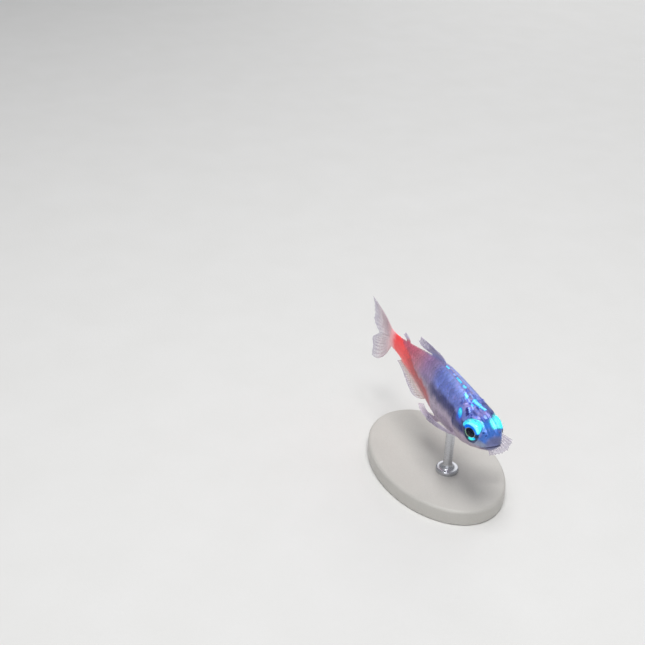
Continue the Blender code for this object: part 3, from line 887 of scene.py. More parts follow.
def markings(s, angle, y, z):
    """Colour, shine, glow and dark dots anywhere on the fish."""
    down = down_from_back(angle)
    turn = to_the_right(angle)
    grain = clouds(s / 1.5, y, z, GRAIN_SIZE)
    cloud = 0.65 * clouds(s / 1.8, y, z, CLOUD_SIZE) + 0.35 * grain
    head = head_markings(s, down, y, z, cloud, grain)
    body = body_markings(s, down, cloud)
    behind_gill = smoothstep(0.0, 0.5, s - gill_edge(angle))
    shine, glow = (a + (b - a) * behind_gill for a, b in zip(head[1:], body[1:]))
    # Painted glints: dashes of reflected light with a royal blue rim, which also glow
    frost_glint = dashes(s, turn, grain, PAINTED_FROST_GLINTS)
    bright = dashes(s, turn, grain, PAINTED_GLINTS)
    colour = layered(
        head[0],
        (body[0], behind_gill),
        # Painted shade on the left side of the crown
        (CROWN_SHADE, between(turn, -46, -14, 6) * between(s, 3.0, 5.2, 0.3) * 0.6),
        (ROYAL, smoothstep(0.0, 0.25, np.maximum(frost_glint, bright)) * 0.85),
        (FROST_GLINT, smoothstep(0.3, 0.75, frost_glint)),
        (GLINT_BLUE, smoothstep(0.3, 0.65, bright)),
        (PALE_CYAN, smoothstep(0.75, 1.0, bright) * 0.5),
    )
    lit = np.maximum(0.25 * smoothstep(0.3, 0.8, frost_glint), 0.55 * smoothstep(0.3, 0.8, bright))
    glow = np.maximum(glow, lit)
    dots = smoothstep(40, 8, down) * (0.2 + 0.3 * smoothstep(5, 2, s)) * (0.4 + 0.9 * grain)
    dots = np.maximum(dots, 0.2 * between(down, 60, 100, 12) * smoothstep(18, 14, s))
    return colour, shine, glow, dots * (1 - smoothstep(0.15, 0.3, glow))


def set_markings(piece, colour, shine, glow, dots):
    set_colour(piece, colour.reshape(-1, 3))
    for name, numbers in (("shine", shine), ("glow", glow), ("dots", dots)):
        set_number(piece, name, numbers)


# Skin


def mouth_line(s):
    return MOUTH_LEVEL - MOUTH_CORNER_DROP * s / MOUTH_CORNER_BACK


def head_relief(s, angle, y, z):
    """Height over the smooth head, in millimetres."""
    down = down_from_back(angle)
    from_mouth = z - mouth_line(s)
    reach = smoothstep(MOUTH_CORNER_BACK + 0.15, MOUTH_CORNER_BACK - 0.1, s)
    lips = 0.10 * (bell(from_mouth, 0.17, 0.12) + bell(from_mouth, -0.17, 0.13)) * reach
    mouth = -0.26 * bell(from_mouth, 0, 0.05) * reach
    jaw_s = MOUTH_CORNER_BACK + 0.05 + 0.5 * (mouth_line(MOUTH_CORNER_BACK) - z)
    jaw = -0.05 * bell(s, jaw_s, 0.07) * between(z, -1.25, -0.55, 0.1)
    from_eye = np.hypot(s - EYE_BEHIND_SNOUT, z - EYE_LEVEL)
    on_side = smoothstep(0.35, 0.7, np.abs(y))
    brow = 0.18 * bell(from_eye, 1.3 * EYE_RADIUS, 0.5) * smoothstep(-0.2, 0.6, z - EYE_LEVEL)
    rim = 0.05 * bell(from_eye, EYE_RADIUS + 0.1, 0.09)
    cheek_at = EYE_RADIUS + 0.55 + 0.1 * np.cos(3 * np.arctan2(z - EYE_LEVEL, s - EYE_BEHIND_SNOUT))
    cheek = -0.045 * bell(from_eye, cheek_at, 0.05) * smoothstep(0.1, -0.5, z - EYE_LEVEL)
    return lips + mouth + jaw + on_side * (brow + rim + cheek) + cover_relief(s, angle, down)


def cover_relief(s, angle, down):
    """The gill cover: raised to its free edge, with the slot behind it."""
    behind = s - gill_edge(angle)
    side = smoothstep(0.3, 0.62, np.abs(np.cos(angle)))
    plate = 0.10 * smoothstep(-2.4, -1.6, behind) * (behind <= 0.001)
    edge = 0.05 * bell(behind, -0.1, 0.12) * (behind <= 0.001)
    slot = -0.14 * smoothstep(0.0, 0.03, behind) * smoothstep(0.55, 0.1, behind)
    bone_line = -0.06 * bell(behind, -2.35 + 0.004 * (down - 90), 0.07) * between(down, 62, 158, 8)
    lower_line = -0.04 * bell(down, 128 + 5 * behind, 2.2) * between(behind, -2.2, -0.2, 0.1)
    folds = -0.03 * np.maximum(0, np.cos(np.radians(down) * 26)) * between(down, 146, 176, 5)
    folds *= between(s, 2.4, 4.6, 0.5)
    return side * (plate + edge + slot + bone_line + lower_line) + folds


def nostril_relief(points, relief):
    """Two small pits a side, each with a low rim."""
    for s in NOSTRILS:
        for angle in (NOSTRIL_ANGLE, math.pi - NOSTRIL_ANGLE):
            centre = place(s, *section(s, angle))
            away = np.linalg.norm(points - centre, axis=-1)
            relief = relief - 0.12 * bell(away, 0, 0.08) + 0.02 * bell(away, 0.17, 0.07)
    return relief


def fin_base_relief(points):
    """Low fleshy mounts under the roots of the fins."""
    s, y, z = -points[..., 0], points[..., 1], points[..., 2]
    rise = 0
    for side in (1, -1):
        for at, off, level, height, width in (
            (PECTORAL_MOUNT[0], flank(*PECTORAL_MOUNT), PECTORAL_MOUNT[1], 0.3, 0.45),
            (*PELVIC_MOUNT, outline(PELVIC_MOUNT[0])[1] + 0.05, 0.4, 0.6),
        ):
            away = np.linalg.norm(points - place(at, side * off, level), axis=-1)
            rise = rise + height * bell(away, 0, width)
    for (start, end), up in ((DORSAL_BASE, 1), (ANAL_BASE, -1), (ADIPOSE_BASE, 1)):
        ridge = between(s, start + 0.1, end - 0.1, 0.5) * bell(y, 0, 0.2) * (up * z > 0)
        rise = rise + GAP * ridge
    return rise


def skin_rings():
    """s for every ring and angle. The rings follow the gill cover's edge."""
    angle = 2 * math.pi * np.arange(RING_POINTS) / RING_POINTS
    edge = gill_edge(angle)[None, :]
    head = np.linspace(0, 1, HEAD_RINGS)[:, None] ** RING_CROWDING
    head_s = NOSE_START + 0.002 + head * (edge - NOSE_START)
    near = np.array(BEHIND_GILL)[:, None]
    near_s = edge + near
    far = np.linspace(0, 1, TRUNK_RINGS)[1:, None]
    last = STANDARD_LENGTH + TAIL_WEDGE
    start = edge + near[-1]
    far_s = start + far * (last - start)
    s = np.concatenate((head_s, near_s, far_s))
    return s, np.broadcast_to(angle, s.shape)


def socket_relief(s, y, z):
    """A dip under each eye, whose ball fills it to the edge."""
    away = np.hypot(s - EYE_BEHIND_SNOUT, z - EYE_LEVEL)
    dip = smoothstep(EYE_RADIUS, EYE_RADIUS - SOCKET_WALL, away)
    return -SOCKET_DEPTH * dip * (np.abs(y) > 0.6)


def skin():
    s, angle = skin_rings()
    points, out = surface(s, angle)
    y, z = points[..., 1], points[..., 2]
    relief = head_relief(s, angle, y, z) - SKIN_INSET
    relief = nostril_relief(points, relief) + fin_base_relief(points) + socket_relief(s, y, z)
    relief = relief * smoothstep(STANDARD_LENGTH + TAIL_WEDGE, STANDARD_LENGTH - 0.3, s)
    skin_points = points + out * relief[..., None]
    rows, columns = s.shape
    flat = skin_points.reshape(-1, 3)
    look = skin_look("skin_paint", 0.5)
    made = add_piece("skin", flat, ring_faces(rows, columns), look, end_caps(rows, columns))
    set_markings(made, *markings(s, angle, y, z))
    u = s / (STANDARD_LENGTH + TAIL_WEDGE)
    set_bake_map(made, u.ravel(), (angle / (2 * math.pi)).ravel())
    attach(made, "skin", "head", "trunk", "tail_stalk")


# Scales


def scale_places():
    """s, angle, pitch and half height as an angle, for each scale."""
    rows = 2 * SCALE_ROWS
    found = []
    for row in range(rows):
        share = row / SCALE_ROWS
        angle = math.pi * share + ROW_EVENING * math.sin(2 * math.pi * share) + math.pi / 2
        step = math.pi / SCALE_ROWS * (1 + 2 * ROW_EVENING * math.cos(2 * math.pi * share))
        for column in range(SCALE_COLUMNS):
            along = (column + 0.5 * (row % 2)) / SCALE_COLUMNS
            pitch = (LAST_SCALE - FIRST_SCALE) / SCALE_COLUMNS
            s = FIRST_SCALE + (LAST_SCALE - FIRST_SCALE) * along
            if s > gill_edge(angle) - 0.5:
                found.append((s, angle, pitch, 0.66 * step))
    return np.array(found).T


def scales():
    """Thin overlapping plates, each with a raised round rear edge."""
    s0, angle0, pitch, half = (v[:, None, None] for v in scale_places())
    count = s0.shape[0]
    along = np.linspace(0, 1, SCALE_GRID[0])[None, :, None]
    across = np.linspace(-1, 1, SCALE_GRID[1])[None, None, :]
    reach = 0.6 + 0.85 * np.sqrt(1 - 0.94 * across**2)
    s = s0 + pitch * (-0.6 + along * reach)
    narrow = 0.8 + 0.2 * np.sqrt(np.minimum(1, 2 * along))
    angle = angle0 + half * across * narrow
    s, angle = np.broadcast_arrays(s, angle)
    points, out = surface(s, angle)
    tilt = rng.normal(0, 0.006, (count, 1, 1))
    height = -SCALE_SINK + (SCALE_LIFT + tilt) * along**1.3 - SCALE_CURL * across**2
    upper = points + out * height[..., None]
    lower = upper - out * SCALE_THICKNESS
    rows, columns = s.shape[1:]
    both = np.concatenate((upper.reshape(count, -1, 3), lower.reshape(count, -1, 3)), axis=1)
    faces = repeated(sheet_faces(rows, columns), 2 * rows * columns, count)
    look = skin_look("scale_paint", 0.3)
    made = add_piece("scales", both.reshape(-1, 3), faces, look, sharp=50)
    shade = rng.normal(1.0, 0.07, (count, 1, 1)) * np.ones(s.shape)
    down = down_from_back(angle)
    dusky = smoothstep(110, 80, down) * smoothstep(0.72, 1.0, np.broadcast_to(along, s.shape))
    shade = shade * (1 - 0.2 * dusky)
    colour, shine, glow, dots = markings(s, angle, points[..., 1], points[..., 2])
    shade = 1 + (shade - 1) * smoothstep(0.3, 0.1, glow)
    colour = colour * shade[..., None]
    colour, shine, glow, dots = (
        np.concatenate((v.reshape(count, -1, *v.shape[3:]),) * 2, axis=1)
        for v in (colour, shine, glow, dots)
    )
    set_markings(made, colour, shine, glow, dots)
    map_scales(made, s0, angle0, along, across, count)
    attach(made, "skin", "trunk", "tail_stalk")


def map_scales(piece, s0, angle0, along, across, count):
    """Each scale is a small patch of the skin's map, at its root."""
    u = s0 / (STANDARD_LENGTH + TAIL_WEDGE) + SCALE_MAP_PATCH * (along - 0.5) + 0 * across
    v = (angle0 / (2 * math.pi)) % 1.0 + SCALE_MAP_PATCH * 0.5 * across + 0 * along
    u, v = (np.concatenate((w.reshape(count, -1),) * 2, axis=1).ravel() for w in (u, v))
    set_bake_map(piece, u, v)


# Eyes


def eye_axes(word):
    """Centre, and the directions forward, up and out, of the left or right
    eye."""
    side, forward, up = SIDES[word], EYE_FORWARD[word], EYE_UP[word]
    out = Vector((math.sin(forward), side * math.cos(forward), math.tan(up)))
    out.normalize()
    forward = Vector((1, 0, 0))
    forward = (forward - out * forward.dot(out)).normalized()
    up = forward.cross(out) * (-side)
    if up.z < 0:
        up = -up
    centre = Vector((-EYE_BEHIND_SNOUT, side * EYE_OUT, EYE_LEVEL))
    return centre, forward, up, out


def turned_eye(word, profile):
    """Rings round the eye's axis from (radius, height) pairs."""
    centre, forward, up, out = (np.array(v) for v in eye_axes(word))
    turn = 2 * math.pi * np.arange(EYE_SIDES) / EYE_SIDES
    turn = np.broadcast_to(turn, (len(profile), EYE_SIDES))
    radius, height = np.array(profile).T[:, :, None]
    oval = PUPIL_STRETCH * smoothstep(EYE_RADIUS, PUPIL_RADIUS, radius)
    across = (radius * (1 + oval) * np.sin(turn))[..., None] * forward
    points = centre + across + (radius * (1 - oval) * np.cos(turn))[..., None] * up
    return points + height[..., None] * out, radius + 0 * turn, turn


def ball_profile():
    """(radius, height) from the hidden back over the iris to the lens."""
    rim = EYE_RADIUS + EYE_RIM
    profile = [*EYE_BACK, (rim, -0.1), (rim, 0.0)]
    for k in range(IRIS_RINGS + 1):
        radius = EYE_RADIUS - (EYE_RADIUS - PUPIL_RADIUS) * k / IRIS_RINGS
        profile.append((radius, IRIS_RISE * math.sqrt(1 - (radius / rim) ** 2)))
    low = profile[-1][1] - 0.02
    for k in range(1, LENS_RINGS):
        turn = k / LENS_RINGS * math.pi / 2
        radius = (PUPIL_RADIUS - 0.01) * math.cos(turn)
        profile.append((radius, low + LENS_RISE * math.sin(turn)))
    return profile + [(0.01, low + LENS_RISE)]


def iris_colour(radius, turn):
    """Colour and glow of the eye. The turn is 0 at the top and grows towards
    the snout."""
    ahead = np.degrees((turn + math.pi) % (2 * math.pi) - math.pi)
    share = (radius - PUPIL_RADIUS) / (EYE_RADIUS - PUPIL_RADIUS)
    full = ahead % 360
    streak = 0.5 + 0.5 * np.sin(47 * turn + 5 * np.sin(5 * turn) + 4 * radius)
    lower = between(np.abs(ahead), 100, 180, 14) * between(share, 0.62, 1.3, 0.12)
    top = between(ahead, -84, 74, 8) * smoothstep(0.04, 0.14, share)
    inner = np.interp(ahead, (-84, -50, -10, 50, 74), (1.0, 0.62, 0.42, 0.36, 0.5))
    core = between(ahead, -80, 70, 8) * smoothstep(inner - 0.1, inner + 0.16, share)
    pale = between(share, 0.5, 0.86, 0.12) * between(ahead, -50, 58, 12)
    crescent = between(full, 116, 182, 9) * between(share, 0.07, 0.56, 0.07)
    behind = between(full, 186, 268, 12) * between(share, 0.07, 0.2, 0.05)
    ring = bell(share, 0.05, 0.04) * smoothstep(8, 50, np.abs(ahead))
    colour = layered(
        spread_over(EYE_DEEP, radius.shape),
        (EYE_GREY, lower * (0.4 + 0.3 * streak)),
        (EYE_BLUE, top),
        (CYAN, core),
        (PALE_CYAN, core * pale * (0.35 + 0.5 * streak)),
        (EYE_GREEN, crescent),
        (EYE_SKY, crescent * smoothstep(150, 116, full)),
        (EYE_LIME, behind * 0.85),
        (EYE_RING, ring * 0.8),
        (EYE_BLACK, smoothstep(0.02, -0.02, share)),
    )
    lit = np.maximum(top * 0.5 + core * 0.5, np.maximum(crescent, behind * 0.5))
    lit = np.maximum(lit, 0.3 * ring)
    return colour, lit * (share > 0.01)


def cornea_profile():
    rim = EYE_RADIUS + EYE_RIM - 0.005
    profile = [(0.01, -0.02), (rim, -0.02)]
    for k in range(CORNEA_RINGS):
        turn = k / CORNEA_RINGS * math.pi / 2
        profile.append((rim * math.cos(turn), CORNEA_RISE * math.sin(turn)))
    return profile + [(0.01, CORNEA_RISE)]


def eye_piece(name, word, profile, look):
    points, radius, turn = turned_eye(word, profile)
    quads = ring_faces(*radius.shape)
    caps = end_caps(*radius.shape)
    made = add_piece(f"{name}_{word}", points.reshape(-1, 3), quads, look, caps, sharp=60)
    attach(made, "eye", "eye_" + word)
    return made, radius, turn


def eyes():
    iris, cornea = eye_look(), cornea_look()
    for word in SIDES:
        ball, radius, turn = eye_piece("eye_ball", word, ball_profile(), iris)
        colour, lit = iris_colour(radius, turn)
        set_colour(ball, colour.reshape(-1, 3))
        set_number(ball, "shine", 0.5 * lit)
        set_number(ball, "glow", lit)
        eye_piece("eye_cornea", word, cornea_profile(), cornea)


# Fins


def lerp(a, b, share):
    a, b = np.asarray(a, float), np.asarray(b, float)
    return a + (b - a) * np.asarray(share)[..., None]


class Fin:
    """A fin as a map from u, along its base, and t, from its foot inside the
    body at 0, through its root, to its edge at 1."""

    foot_share = 0.12

    def __init__(self, name, count, root, tip, foot, bow, wave, colours, cover):
        self.name, self.node, self.count = name, "fin_" + name, count
        self.root, self.tip, self.foot = root, tip, foot
        self.bows, self.wave = np.array(bow, float), wave
        self.colours, self.cover = colours, cover
        self.lengths = 1 + rng.normal(0, LENGTH_SPREAD, count)

    def at(self, u, t):
        u, t = np.broadcast_arrays(np.clip(u, 0, 1), t)
        root, tip, foot = self.root(u), self.tip(u), self.foot(u)
        k = u * (self.count - 1)
        own = np.interp(k, np.arange(self.count), self.lengths)
        drawn_in = EDGE_NOTCH * np.sin(math.pi * (k % 1.0)) ** 0.7
        out = np.clip((t - self.foot_share) / (1 - self.foot_share), 0, 1)
        length = out * (own - drawn_in * out)
        points = root + (tip - root) * length[..., None]
        bend = (4 * out * (1 - out))[..., None]
        bow = self.bows[0] + (self.bows[1] - self.bows[0]) * u[..., None]
        points = points + bow * bend
        inner = np.clip(t / self.foot_share, 0, 1)[..., None]
        return foot + (points - foot) * np.where(t[..., None] < self.foot_share, inner, 1.0)

    def normal(self, u, t):
        step = 0.01
        along = self.at(u, t + step) - self.at(u, t - step)
        across = self.at(u + step, t) - self.at(u - step, t)
        out = np.cross(along, across)
        return out / (np.linalg.norm(out, axis=-1, keepdims=True) + 1e-12)

    def shaped(self, u, t):
        """The fin with its slow wave and the sag between its rays."""
        u, t = np.broadcast_arrays(u, t)
        out = self.normal(u, np.clip(t, 0.13, 0.98))
        lift = self.wave * t**2 * np.sin(2.2 * math.pi * u + 2.4 * t)
        sag = SAG * np.sin(math.pi * (u * (self.count - 1) % 1.0)) * smoothstep(0.1, 0.3, t)
        return self.at(u, t) + out * (lift - sag)[..., None], out


def membrane(fin, look):
    columns = (fin.count - 1) * MEMBRANE_STEPS + 1
    rows = MEMBRANE_ROWS
    u = np.linspace(0, 1, columns)[None, :]
    t = np.linspace(0, 1, rows)[:, None]
    points, out = fin.shaped(u, t)
    t = np.broadcast_to(t, (rows, columns))
    half = (MEMBRANE_HALF - MEMBRANE_THINNING * t)[..., None]
    both = np.concatenate(((points + out * half).reshape(-1, 3), (points - out * half).reshape(-1, 3)))
    made = add_piece(fin.name + "_membrane", both, sheet_faces(rows, columns), look, sharp=50)
    colour = fin_colour(fin, t)
    set_colour(made, np.concatenate((colour.reshape(-1, 3),) * 2))
    cover = fin.cover[0] + (fin.cover[1] - fin.cover[0]) * smoothstep(0.08, 0.75, t)
    set_number(made, "cover", np.concatenate((cover.ravel(),) * 2))
    attach(made, "fin", fin.node)


def fin_colour(fin, t):
    root, middle, edge = fin.colours
    colour = blend(np.broadcast_to(root, (*t.shape, 3)), middle, smoothstep(0.1, 0.4, t))
    return blend(colour, edge, smoothstep(0.5, 1.0, t))


def strand_paths(fin):
    """u and t along each strand: a ray splits in two, and each half again."""
    spacing = 1 / (fin.count - 1)
    whole = ((-1, -1, 0.0), (1, 1, FIRST_SPLIT), (-1, 1, SECOND_SPLIT), (1, -1, SECOND_SPLIT))
    strands = []
    for k in range(fin.count):
        edge_ray = k == 0
        for wide, fine, start in whole[:1] if edge_ray else whole:
            t = start + (1 - start) * np.linspace(0, 1, RAY_ROWS)
            spread = 0.25 * wide * smoothstep(FIRST_SPLIT - 0.04, 1.1, t)
            spread = spread + 0.12 * fine * smoothstep(SECOND_SPLIT - 0.04, 1.1, t)
            inside = 0.0 if edge_ray else spread * spacing
            u = np.clip(k * spacing + inside, 0, 1)
            thick = FIRST_RAY_RADIUS if edge_ray else RAY_RADIUS
            radius = thick * (1 - RAY_THINNING * smoothstep(0.15, 1.0, t))
            joints = 1 + 0.13 * (np.arange(RAY_ROWS) % 2) * (t > 0.3)
            strands.append((u + 0 * t, t, radius * joints))
    return (np.array(v) for v in zip(*strands))


def rays(fin, look):
    u, t, radius = strand_paths(fin)
    count, rows = t.shape
    sides = RAY_SIDES
    points, out = fin.shaped(u, t)
    along = np.gradient(points, axis=1)
    along /= np.linalg.norm(along, axis=-1, keepdims=True) + 1e-12
    across = np.cross(along, out)
    across /= np.linalg.norm(across, axis=-1, keepdims=True) + 1e-12
    turn = 2 * math.pi * np.arange(sides) / sides
    wheel = np.cos(turn)[:, None] * across[..., None, :] + np.sin(turn)[:, None] * out[..., None, :]
    tubes = points[..., None, :] + wheel * radius[..., None, None]
    size = rows * sides
    quads = repeated(ring_faces(rows, sides), size, count)
    caps = [cap for k in range(count) for cap in end_caps(rows, sides, k * size)]
    made = add_piece(fin.name + "_rays", tubes.reshape(-1, 3), quads, look, caps)
    colour = fin_colour(fin, t) * RAY_DARKENING
    set_colour(made, np.repeat(colour.reshape(-1, 3), sides, axis=0))
    cover = 0.8 - 0.4 * smoothstep(0.2, 0.9, t)
    set_number(made, "cover", np.repeat(cover.ravel(), sides))
    attach(made, "fin", fin.node)


def in_middle(s_z):
    """Points of the fish's middle plane from s and z."""
    s, z = s_z
    return place(s, 0.0 * np.asarray(s, float), z)


FIN_CLEAR = paint(196, 186, 206)
FIN_EDGE = paint(172, 162, 186)
FIN_BLUE = paint(144, 146, 200)
FIN_BEIGE = paint(206, 182, 178)
FIN_WHITE = paint(236, 230, 238)
FIN_MAUVE = paint(168, 160, 190)
FIN_RED = paint(214, 104, 98)
FIN_ROSE = paint(196, 112, 128)
TAIL_ROOT = paint(232, 190, 192)
TAIL_MIDDLE = paint(196, 172, 180)
PECTORAL_ROOT = paint(178, 164, 184)
PELVIC_ROOT = paint(186, 168, 182)


def base_line(base, up):
    """Roots just off the back, or off the underside, from s to s."""

    def root(u):
        s = base[0] + (base[1] - base[0]) * u
        back, belly, _ = outline(s)
        return in_middle((s, back + GAP if up > 0 else belly - GAP))

    return root


def edge_line(start, end, bulge=0.0):
    """Tips between two corners of the middle plane, with a bulge behind."""

    def tip(u):
        s = start[0] + (end[0] - start[0]) * u + bulge * np.sin(math.pi * u)
        return in_middle((s, start[1] + (end[1] - start[1]) * u))

    return tip


def shortened(root, whole, count, shares):
    """Tips whose first rays have only these shares of their length."""

    def tip(u):
        length = np.interp(u * (count - 1), range(len(shares)), shares)[..., None]
        return root(u) + (whole(u) - root(u)) * length

    return tip


def median_fin(name, count, root, tip, bows, sink, wave, colours, cover):
    """A fin in the middle plane. bows tell how far its first and last rays
    bend up, and sink how far its foot lies off its root, in x, y and z."""

    def foot(u):
        return root(u) + sink

    bent = [(0, 0, bow) for bow in bows]
    return Fin(name, count, root, tip, foot, bent, wave, colours, cover)


def dorsal_fin():
    root = base_line(DORSAL_BASE, 1)
    edge = edge_line(DORSAL_PEAK, DORSAL_REAR, DORSAL_BULGE)
    tip = shortened(root, edge, DORSAL_RAYS, (0.42, 0.8, 1.0))
    colours = (FIN_BLUE, FIN_MAUVE, FIN_CLEAR)
    bows, sink, cover = (0.3, -0.08), (0.1, 0, -0.75), (0.62, 0.4)
    return median_fin("dorsal", DORSAL_RAYS, root, tip, bows, sink, 0.1, colours, cover)


def anal_fin():
    root = base_line(ANAL_BASE, -1)
    straight = edge_line(ANAL_LOBE, ANAL_REAR)

    def edge(u):
        hollow = ANAL_HOLLOW * np.sin(math.pi * u) * (1 - u)
        return straight(u) + hollow[..., None] * (0, 0, 1)

    tip = shortened(root, edge, ANAL_RAYS, (0.8, 1.0))
    colours = (FIN_RED, FIN_BEIGE, FIN_CLEAR)
    bows, sink, cover = (-0.2, -0.08), (0.1, 0, 0.7), (0.7, 0.36)
    return median_fin("anal", ANAL_RAYS, root, tip, bows, sink, 0.12, colours, cover)


def adipose_fin():
    root = base_line(ADIPOSE_BASE, 1)
    tip = edge_line(ADIPOSE_TIP, ADIPOSE_REAR)
    colours = (FIN_ROSE, FIN_CLEAR, FIN_CLEAR)
    bows, sink, cover = (0.12, 0.05), (0.1, 0, -0.6), (0.9, 0.6)
    return median_fin("adipose", ADIPOSE_RAYS, root, tip, bows, sink, 0.03, colours, cover)


def tail_fin(word):
    """The upper or lower lobe of the tail fin."""
    count, up, edge, outer, fork, bulge, bows = TAIL_LOBES[word]
    back, belly, _ = outline(STANDARD_LENGTH)
    inner = 0.5 * (float(back) + float(belly)) + up * 0.05
    start = STANDARD_LENGTH + GAP

    def root(u):
        return in_middle((start - 0.25 * (1 - u) ** 2, edge + (inner - edge) * u))

    tip = edge_line(outer, fork, bulge)
    colours = (TAIL_ROOT, TAIL_MIDDLE, FIN_EDGE)
    sink, cover = (0.9, 0, 0), (0.85, 0.34)
    return median_fin("tail_" + word, count, root, tip, bows, sink, up * 0.2, colours, cover)


def paired_fin(name, count, roots, tips, feet, bow, wave, colours, cover):
    def root(u):
        return lerp(*roots, u)

    def tip(u):
        start = root(u)
        rounded = 1 + 0.16 * np.sin(math.pi * u)
        return start + (lerp(*tips, u) - start) * rounded[..., None]

    def foot(u):
        return lerp(*feet, u)

    return Fin(name, count, root, tip, foot, [bow] * 2, wave, colours, cover)


def pectoral_fin(word):
    side = SIDES[word]
    roots, feet = [], []
    for s, z in PECTORAL_BASE:
        wide = float(flank(s, z))
        roots.append(place(s, side * (wide + 1.2 * GAP), z))
        feet.append(place(s - 0.15, side * (wide - 0.35), z))
    tips = [place(*tip) for tip in PECTORAL_TIPS[word]]
    colours = (PECTORAL_ROOT, FIN_CLEAR, FIN_EDGE)
    bow, cover = (0, side * 0.25, 0.1), (0.6, 0.26)
    return paired_fin("pectoral_" + word, PECTORAL_RAYS, roots, tips, feet, bow, 0.12, colours, cover)


def pelvic_fin(word):
    side = SIDES[word]
    roots, feet = [], []
    for s, y in PELVIC_BASE:
        low = float(outline(s)[1])
        roots.append(place(s, side * y, low + 0.1))
        feet.append(place(s - 0.4, side * y * 0.9, low + 0.7))
    tips = [place(s, side * y, z) for s, y, z in PELVIC_TIPS]
    colours = (PELVIC_ROOT, FIN_CLEAR, FIN_WHITE)
    bow, cover = (0, side * 0.2, -0.35), (0.75, 0.5)
    return paired_fin("pelvic_" + word, PELVIC_RAYS, roots, tips, feet, bow, 0.08, colours, cover)


def fins():
    membrane_paint, ray_paint = fin_look(), ray_look()
    made = [dorsal_fin(), anal_fin(), adipose_fin()]
    made += [tail_fin(word) for word in TAIL_LOBES]
    made += [pectoral_fin(word) for word in SIDES]
    made += [pelvic_fin(word) for word in SIDES]
    for fin in made:
        membrane(fin, membrane_paint)
        rays(fin, ray_paint)


# Stand


def turned_stand(name, node, profile, centre, look, sides):
    """Rings of (height, half length, half width) round an upright axis."""
    height, along, across = np.array(profile).T[:, :, None]
    turn = (2 * math.pi * np.arange(sides) / sides)[None, :]
    x, y = centre[0] + along * np.cos(turn), centre[1] + across * np.sin(turn)
    points = np.stack(np.broadcast_arrays(x, y, height), axis=-1)
    points = points - (TOTAL_LENGTH / 2, 0, SWIM_HEIGHT)
    rows = len(profile)
    quads = ring_faces(rows, sides)
    caps = end_caps(rows, sides)
    made = add_piece(name, points.reshape(-1, 3), quads, look, caps, sharp=35)
    attach(made, node, node)


def rounded_edge(z, along, across, radius, turn_from, turn_to, steps):
    """Ring sizes round a quarter arc inside the given outer corner."""
    found = []
    for k in range(steps):
        turn = math.radians(turn_from + (turn_to - turn_from) * k / (steps - 1))
        inset = radius * (1 - math.cos(turn))
        found.append((z + radius * math.sin(turn), along - inset, across - inset))
    return found


def middle_of(low, high):
    """Centre and half sizes of a box along x and y, in millimetres."""
    centre = ((low.x + high.x) / 2 / MM, (low.y + high.y) / 2 / MM)
    return centre, (high.x - low.x) / 2 / MM, (high.y - low.y) / 2 / MM


def stand():
    (low, high), (rod_low, rod_high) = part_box("stand_base"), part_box("stand_rod")
    centre, along, across = middle_of(low, high)
    top = high.z / MM
    inset = BASE_UNDERSIDE_INSET
    profile = [(0.0, AXIS_RADIUS, AXIS_RADIUS), (0.0, along - inset, across - inset)]
    profile += rounded_edge(BASE_LOWER_ROUNDING, along, across, BASE_LOWER_ROUNDING, -90, 0, 5)
    profile += rounded_edge(top - BASE_UPPER_ROUNDING, along, across, BASE_UPPER_ROUNDING, 0, 90, 7)
    profile += [(top, along - BASE_TOP_INSET, across - BASE_TOP_INSET), (top, AXIS_RADIUS, AXIS_RADIUS)]
    turned_stand("base", "stand_base", profile, centre, stand_base_look(), BASE_SIDES)
    centre = middle_of(rod_low, rod_high)[0]
    tip = rod_high.z / MM + GAP + ROD_INTO_FISH
    foot = ROD_FOOT_RADIUS
    profile = [(top + rise, r, r) for rise, r in ROD_FOOT]
    profile += rounded_edge(top + ROD_FOOT_TOP, foot, foot, ROD_FOOT_ROUNDING, 0, 90, 6)
    profile += [(top + rise, r, r) for rise, r in ROD_TAPER]
    profile += [(tip - drop, r, r) for drop, r in ROD_NECK]
    turned_stand("rod", "stand_rod", profile, centre, stand_rod_look(), ROD_SIDES)


# Room, lights and camera

FLOOR_HALF = 1.5

# Lights: name, place, size, watts and colour
LIGHTS = (
    ("key", (0.05, -0.03, 0.30), 0.14, 0.62, WHITE),
    ("fill", (0.28, -0.22, 0.14), 0.30, 0.2, (0.93, 0.96, 1.0)),
    ("back", (-0.22, 0.20, 0.16), 0.25, 0.22, WHITE),
)
SKY = (0.86, 0.88, 0.92, 1)
SKY_STRENGTH = 0.36


def floor():
    half = FLOOR_HALF
    mesh = bpy.data.meshes.new("floor")
    corners = [(-half, -half, 0), (half, -half, 0), (half, half, 0), (-half, half, 0)]
    mesh.from_pydata(corners, [], [(0, 1, 2, 3)])
    look = Look("floor_paper")
    look.drive(Base_Color=look.mixed("MIX", look.noise(9.0, 4), *PAPER))
    look.set(Roughness=0.7)
    look.bump(look.noise(0.4, 5), 0.02)
    mesh.materials.append(look.material)
    made = bpy.data.objects.new("floor", mesh)
    bpy.context.scene.collection.objects.link(made)


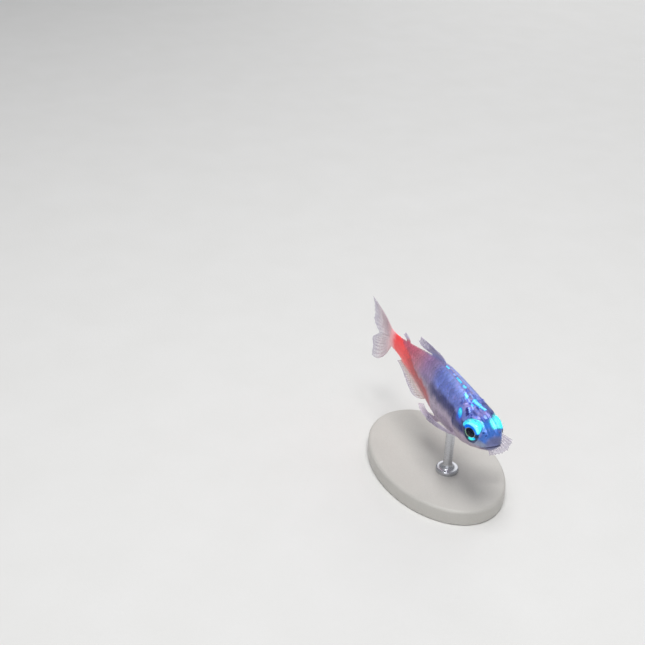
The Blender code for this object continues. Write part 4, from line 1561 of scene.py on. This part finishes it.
def area_light(name, at, size, power, colour):
    light = bpy.data.lights.new(name, "AREA")
    light.size = size
    light.energy = power
    light.color = colour
    made = bpy.data.objects.new(name, light)
    made.location = at
    aim = Vector((0, 0, SWIM_HEIGHT * MM)) - made.location
    made.rotation_euler = aim.to_track_quat("-Z", "Y").to_euler()
    bpy.context.scene.collection.objects.link(made)


def lights():
    for light in LIGHTS:
        area_light(*light)
    world = bpy.data.worlds.new("studio")
    world.use_nodes = True
    sky = world.node_tree.nodes["Background"]
    sky.inputs["Color"].default_value = SKY
    sky.inputs["Strength"].default_value = SKY_STRENGTH
    bpy.context.scene.world = world
    bpy.context.scene.view_settings.view_transform = "Standard"


def camera():
    """Looks from the photo's direction, with the fish where the photo has it."""
    az, el, roll = CAMERA_AZIMUTH, CAMERA_ELEVATION, CAMERA_ROLL
    out = Vector((math.cos(el) * math.sin(az), -math.cos(el) * math.cos(az), math.sin(el)))
    right = Vector((math.cos(az), math.sin(az), 0))
    up = out.cross(right)
    turned_right = math.cos(roll) * right + math.sin(roll) * up
    turned_up = -math.sin(roll) * right + math.cos(roll) * up
    local = Matrix((turned_right, turned_up, out)).transposed()
    off = Vector(AIM_PIXEL) - Vector((PHOTO_SIDE / 2, PHOTO_SIDE / 2))
    focal = PIXELS_PER_METRE * CAMERA_DISTANCE
    for _ in range(FOCAL_ROUNDS):
        spread = math.atan(off.length / focal)
        focal = PIXELS_PER_METRE * CAMERA_DISTANCE * math.cos(spread) ** 1.5
    ray = Vector((off.x / focal, -off.y / focal, -1)).normalized()
    turn = ray.rotation_difference(Vector((0, 0, -1))).to_matrix()
    aim = Vector(((TOTAL_LENGTH / 2 - AIM_BEHIND_SNOUT) * MM, 0, SWIM_HEIGHT * MM))
    data = bpy.data.cameras.new("camera")
    data.sensor_width = SENSOR
    data.lens = focal / PHOTO_SIDE * SENSOR
    data.clip_start, data.clip_end = CLIP
    made = bpy.data.objects.new("camera", data)
    made.matrix_world = Matrix.Translation(aim + CAMERA_DISTANCE * out) @ (local @ turn).to_4x4()
    bpy.context.scene.collection.objects.link(made)
    bpy.context.scene.camera = made


camera()
lights()
floor()
skin()
scales()
eyes()
fins()
stand()
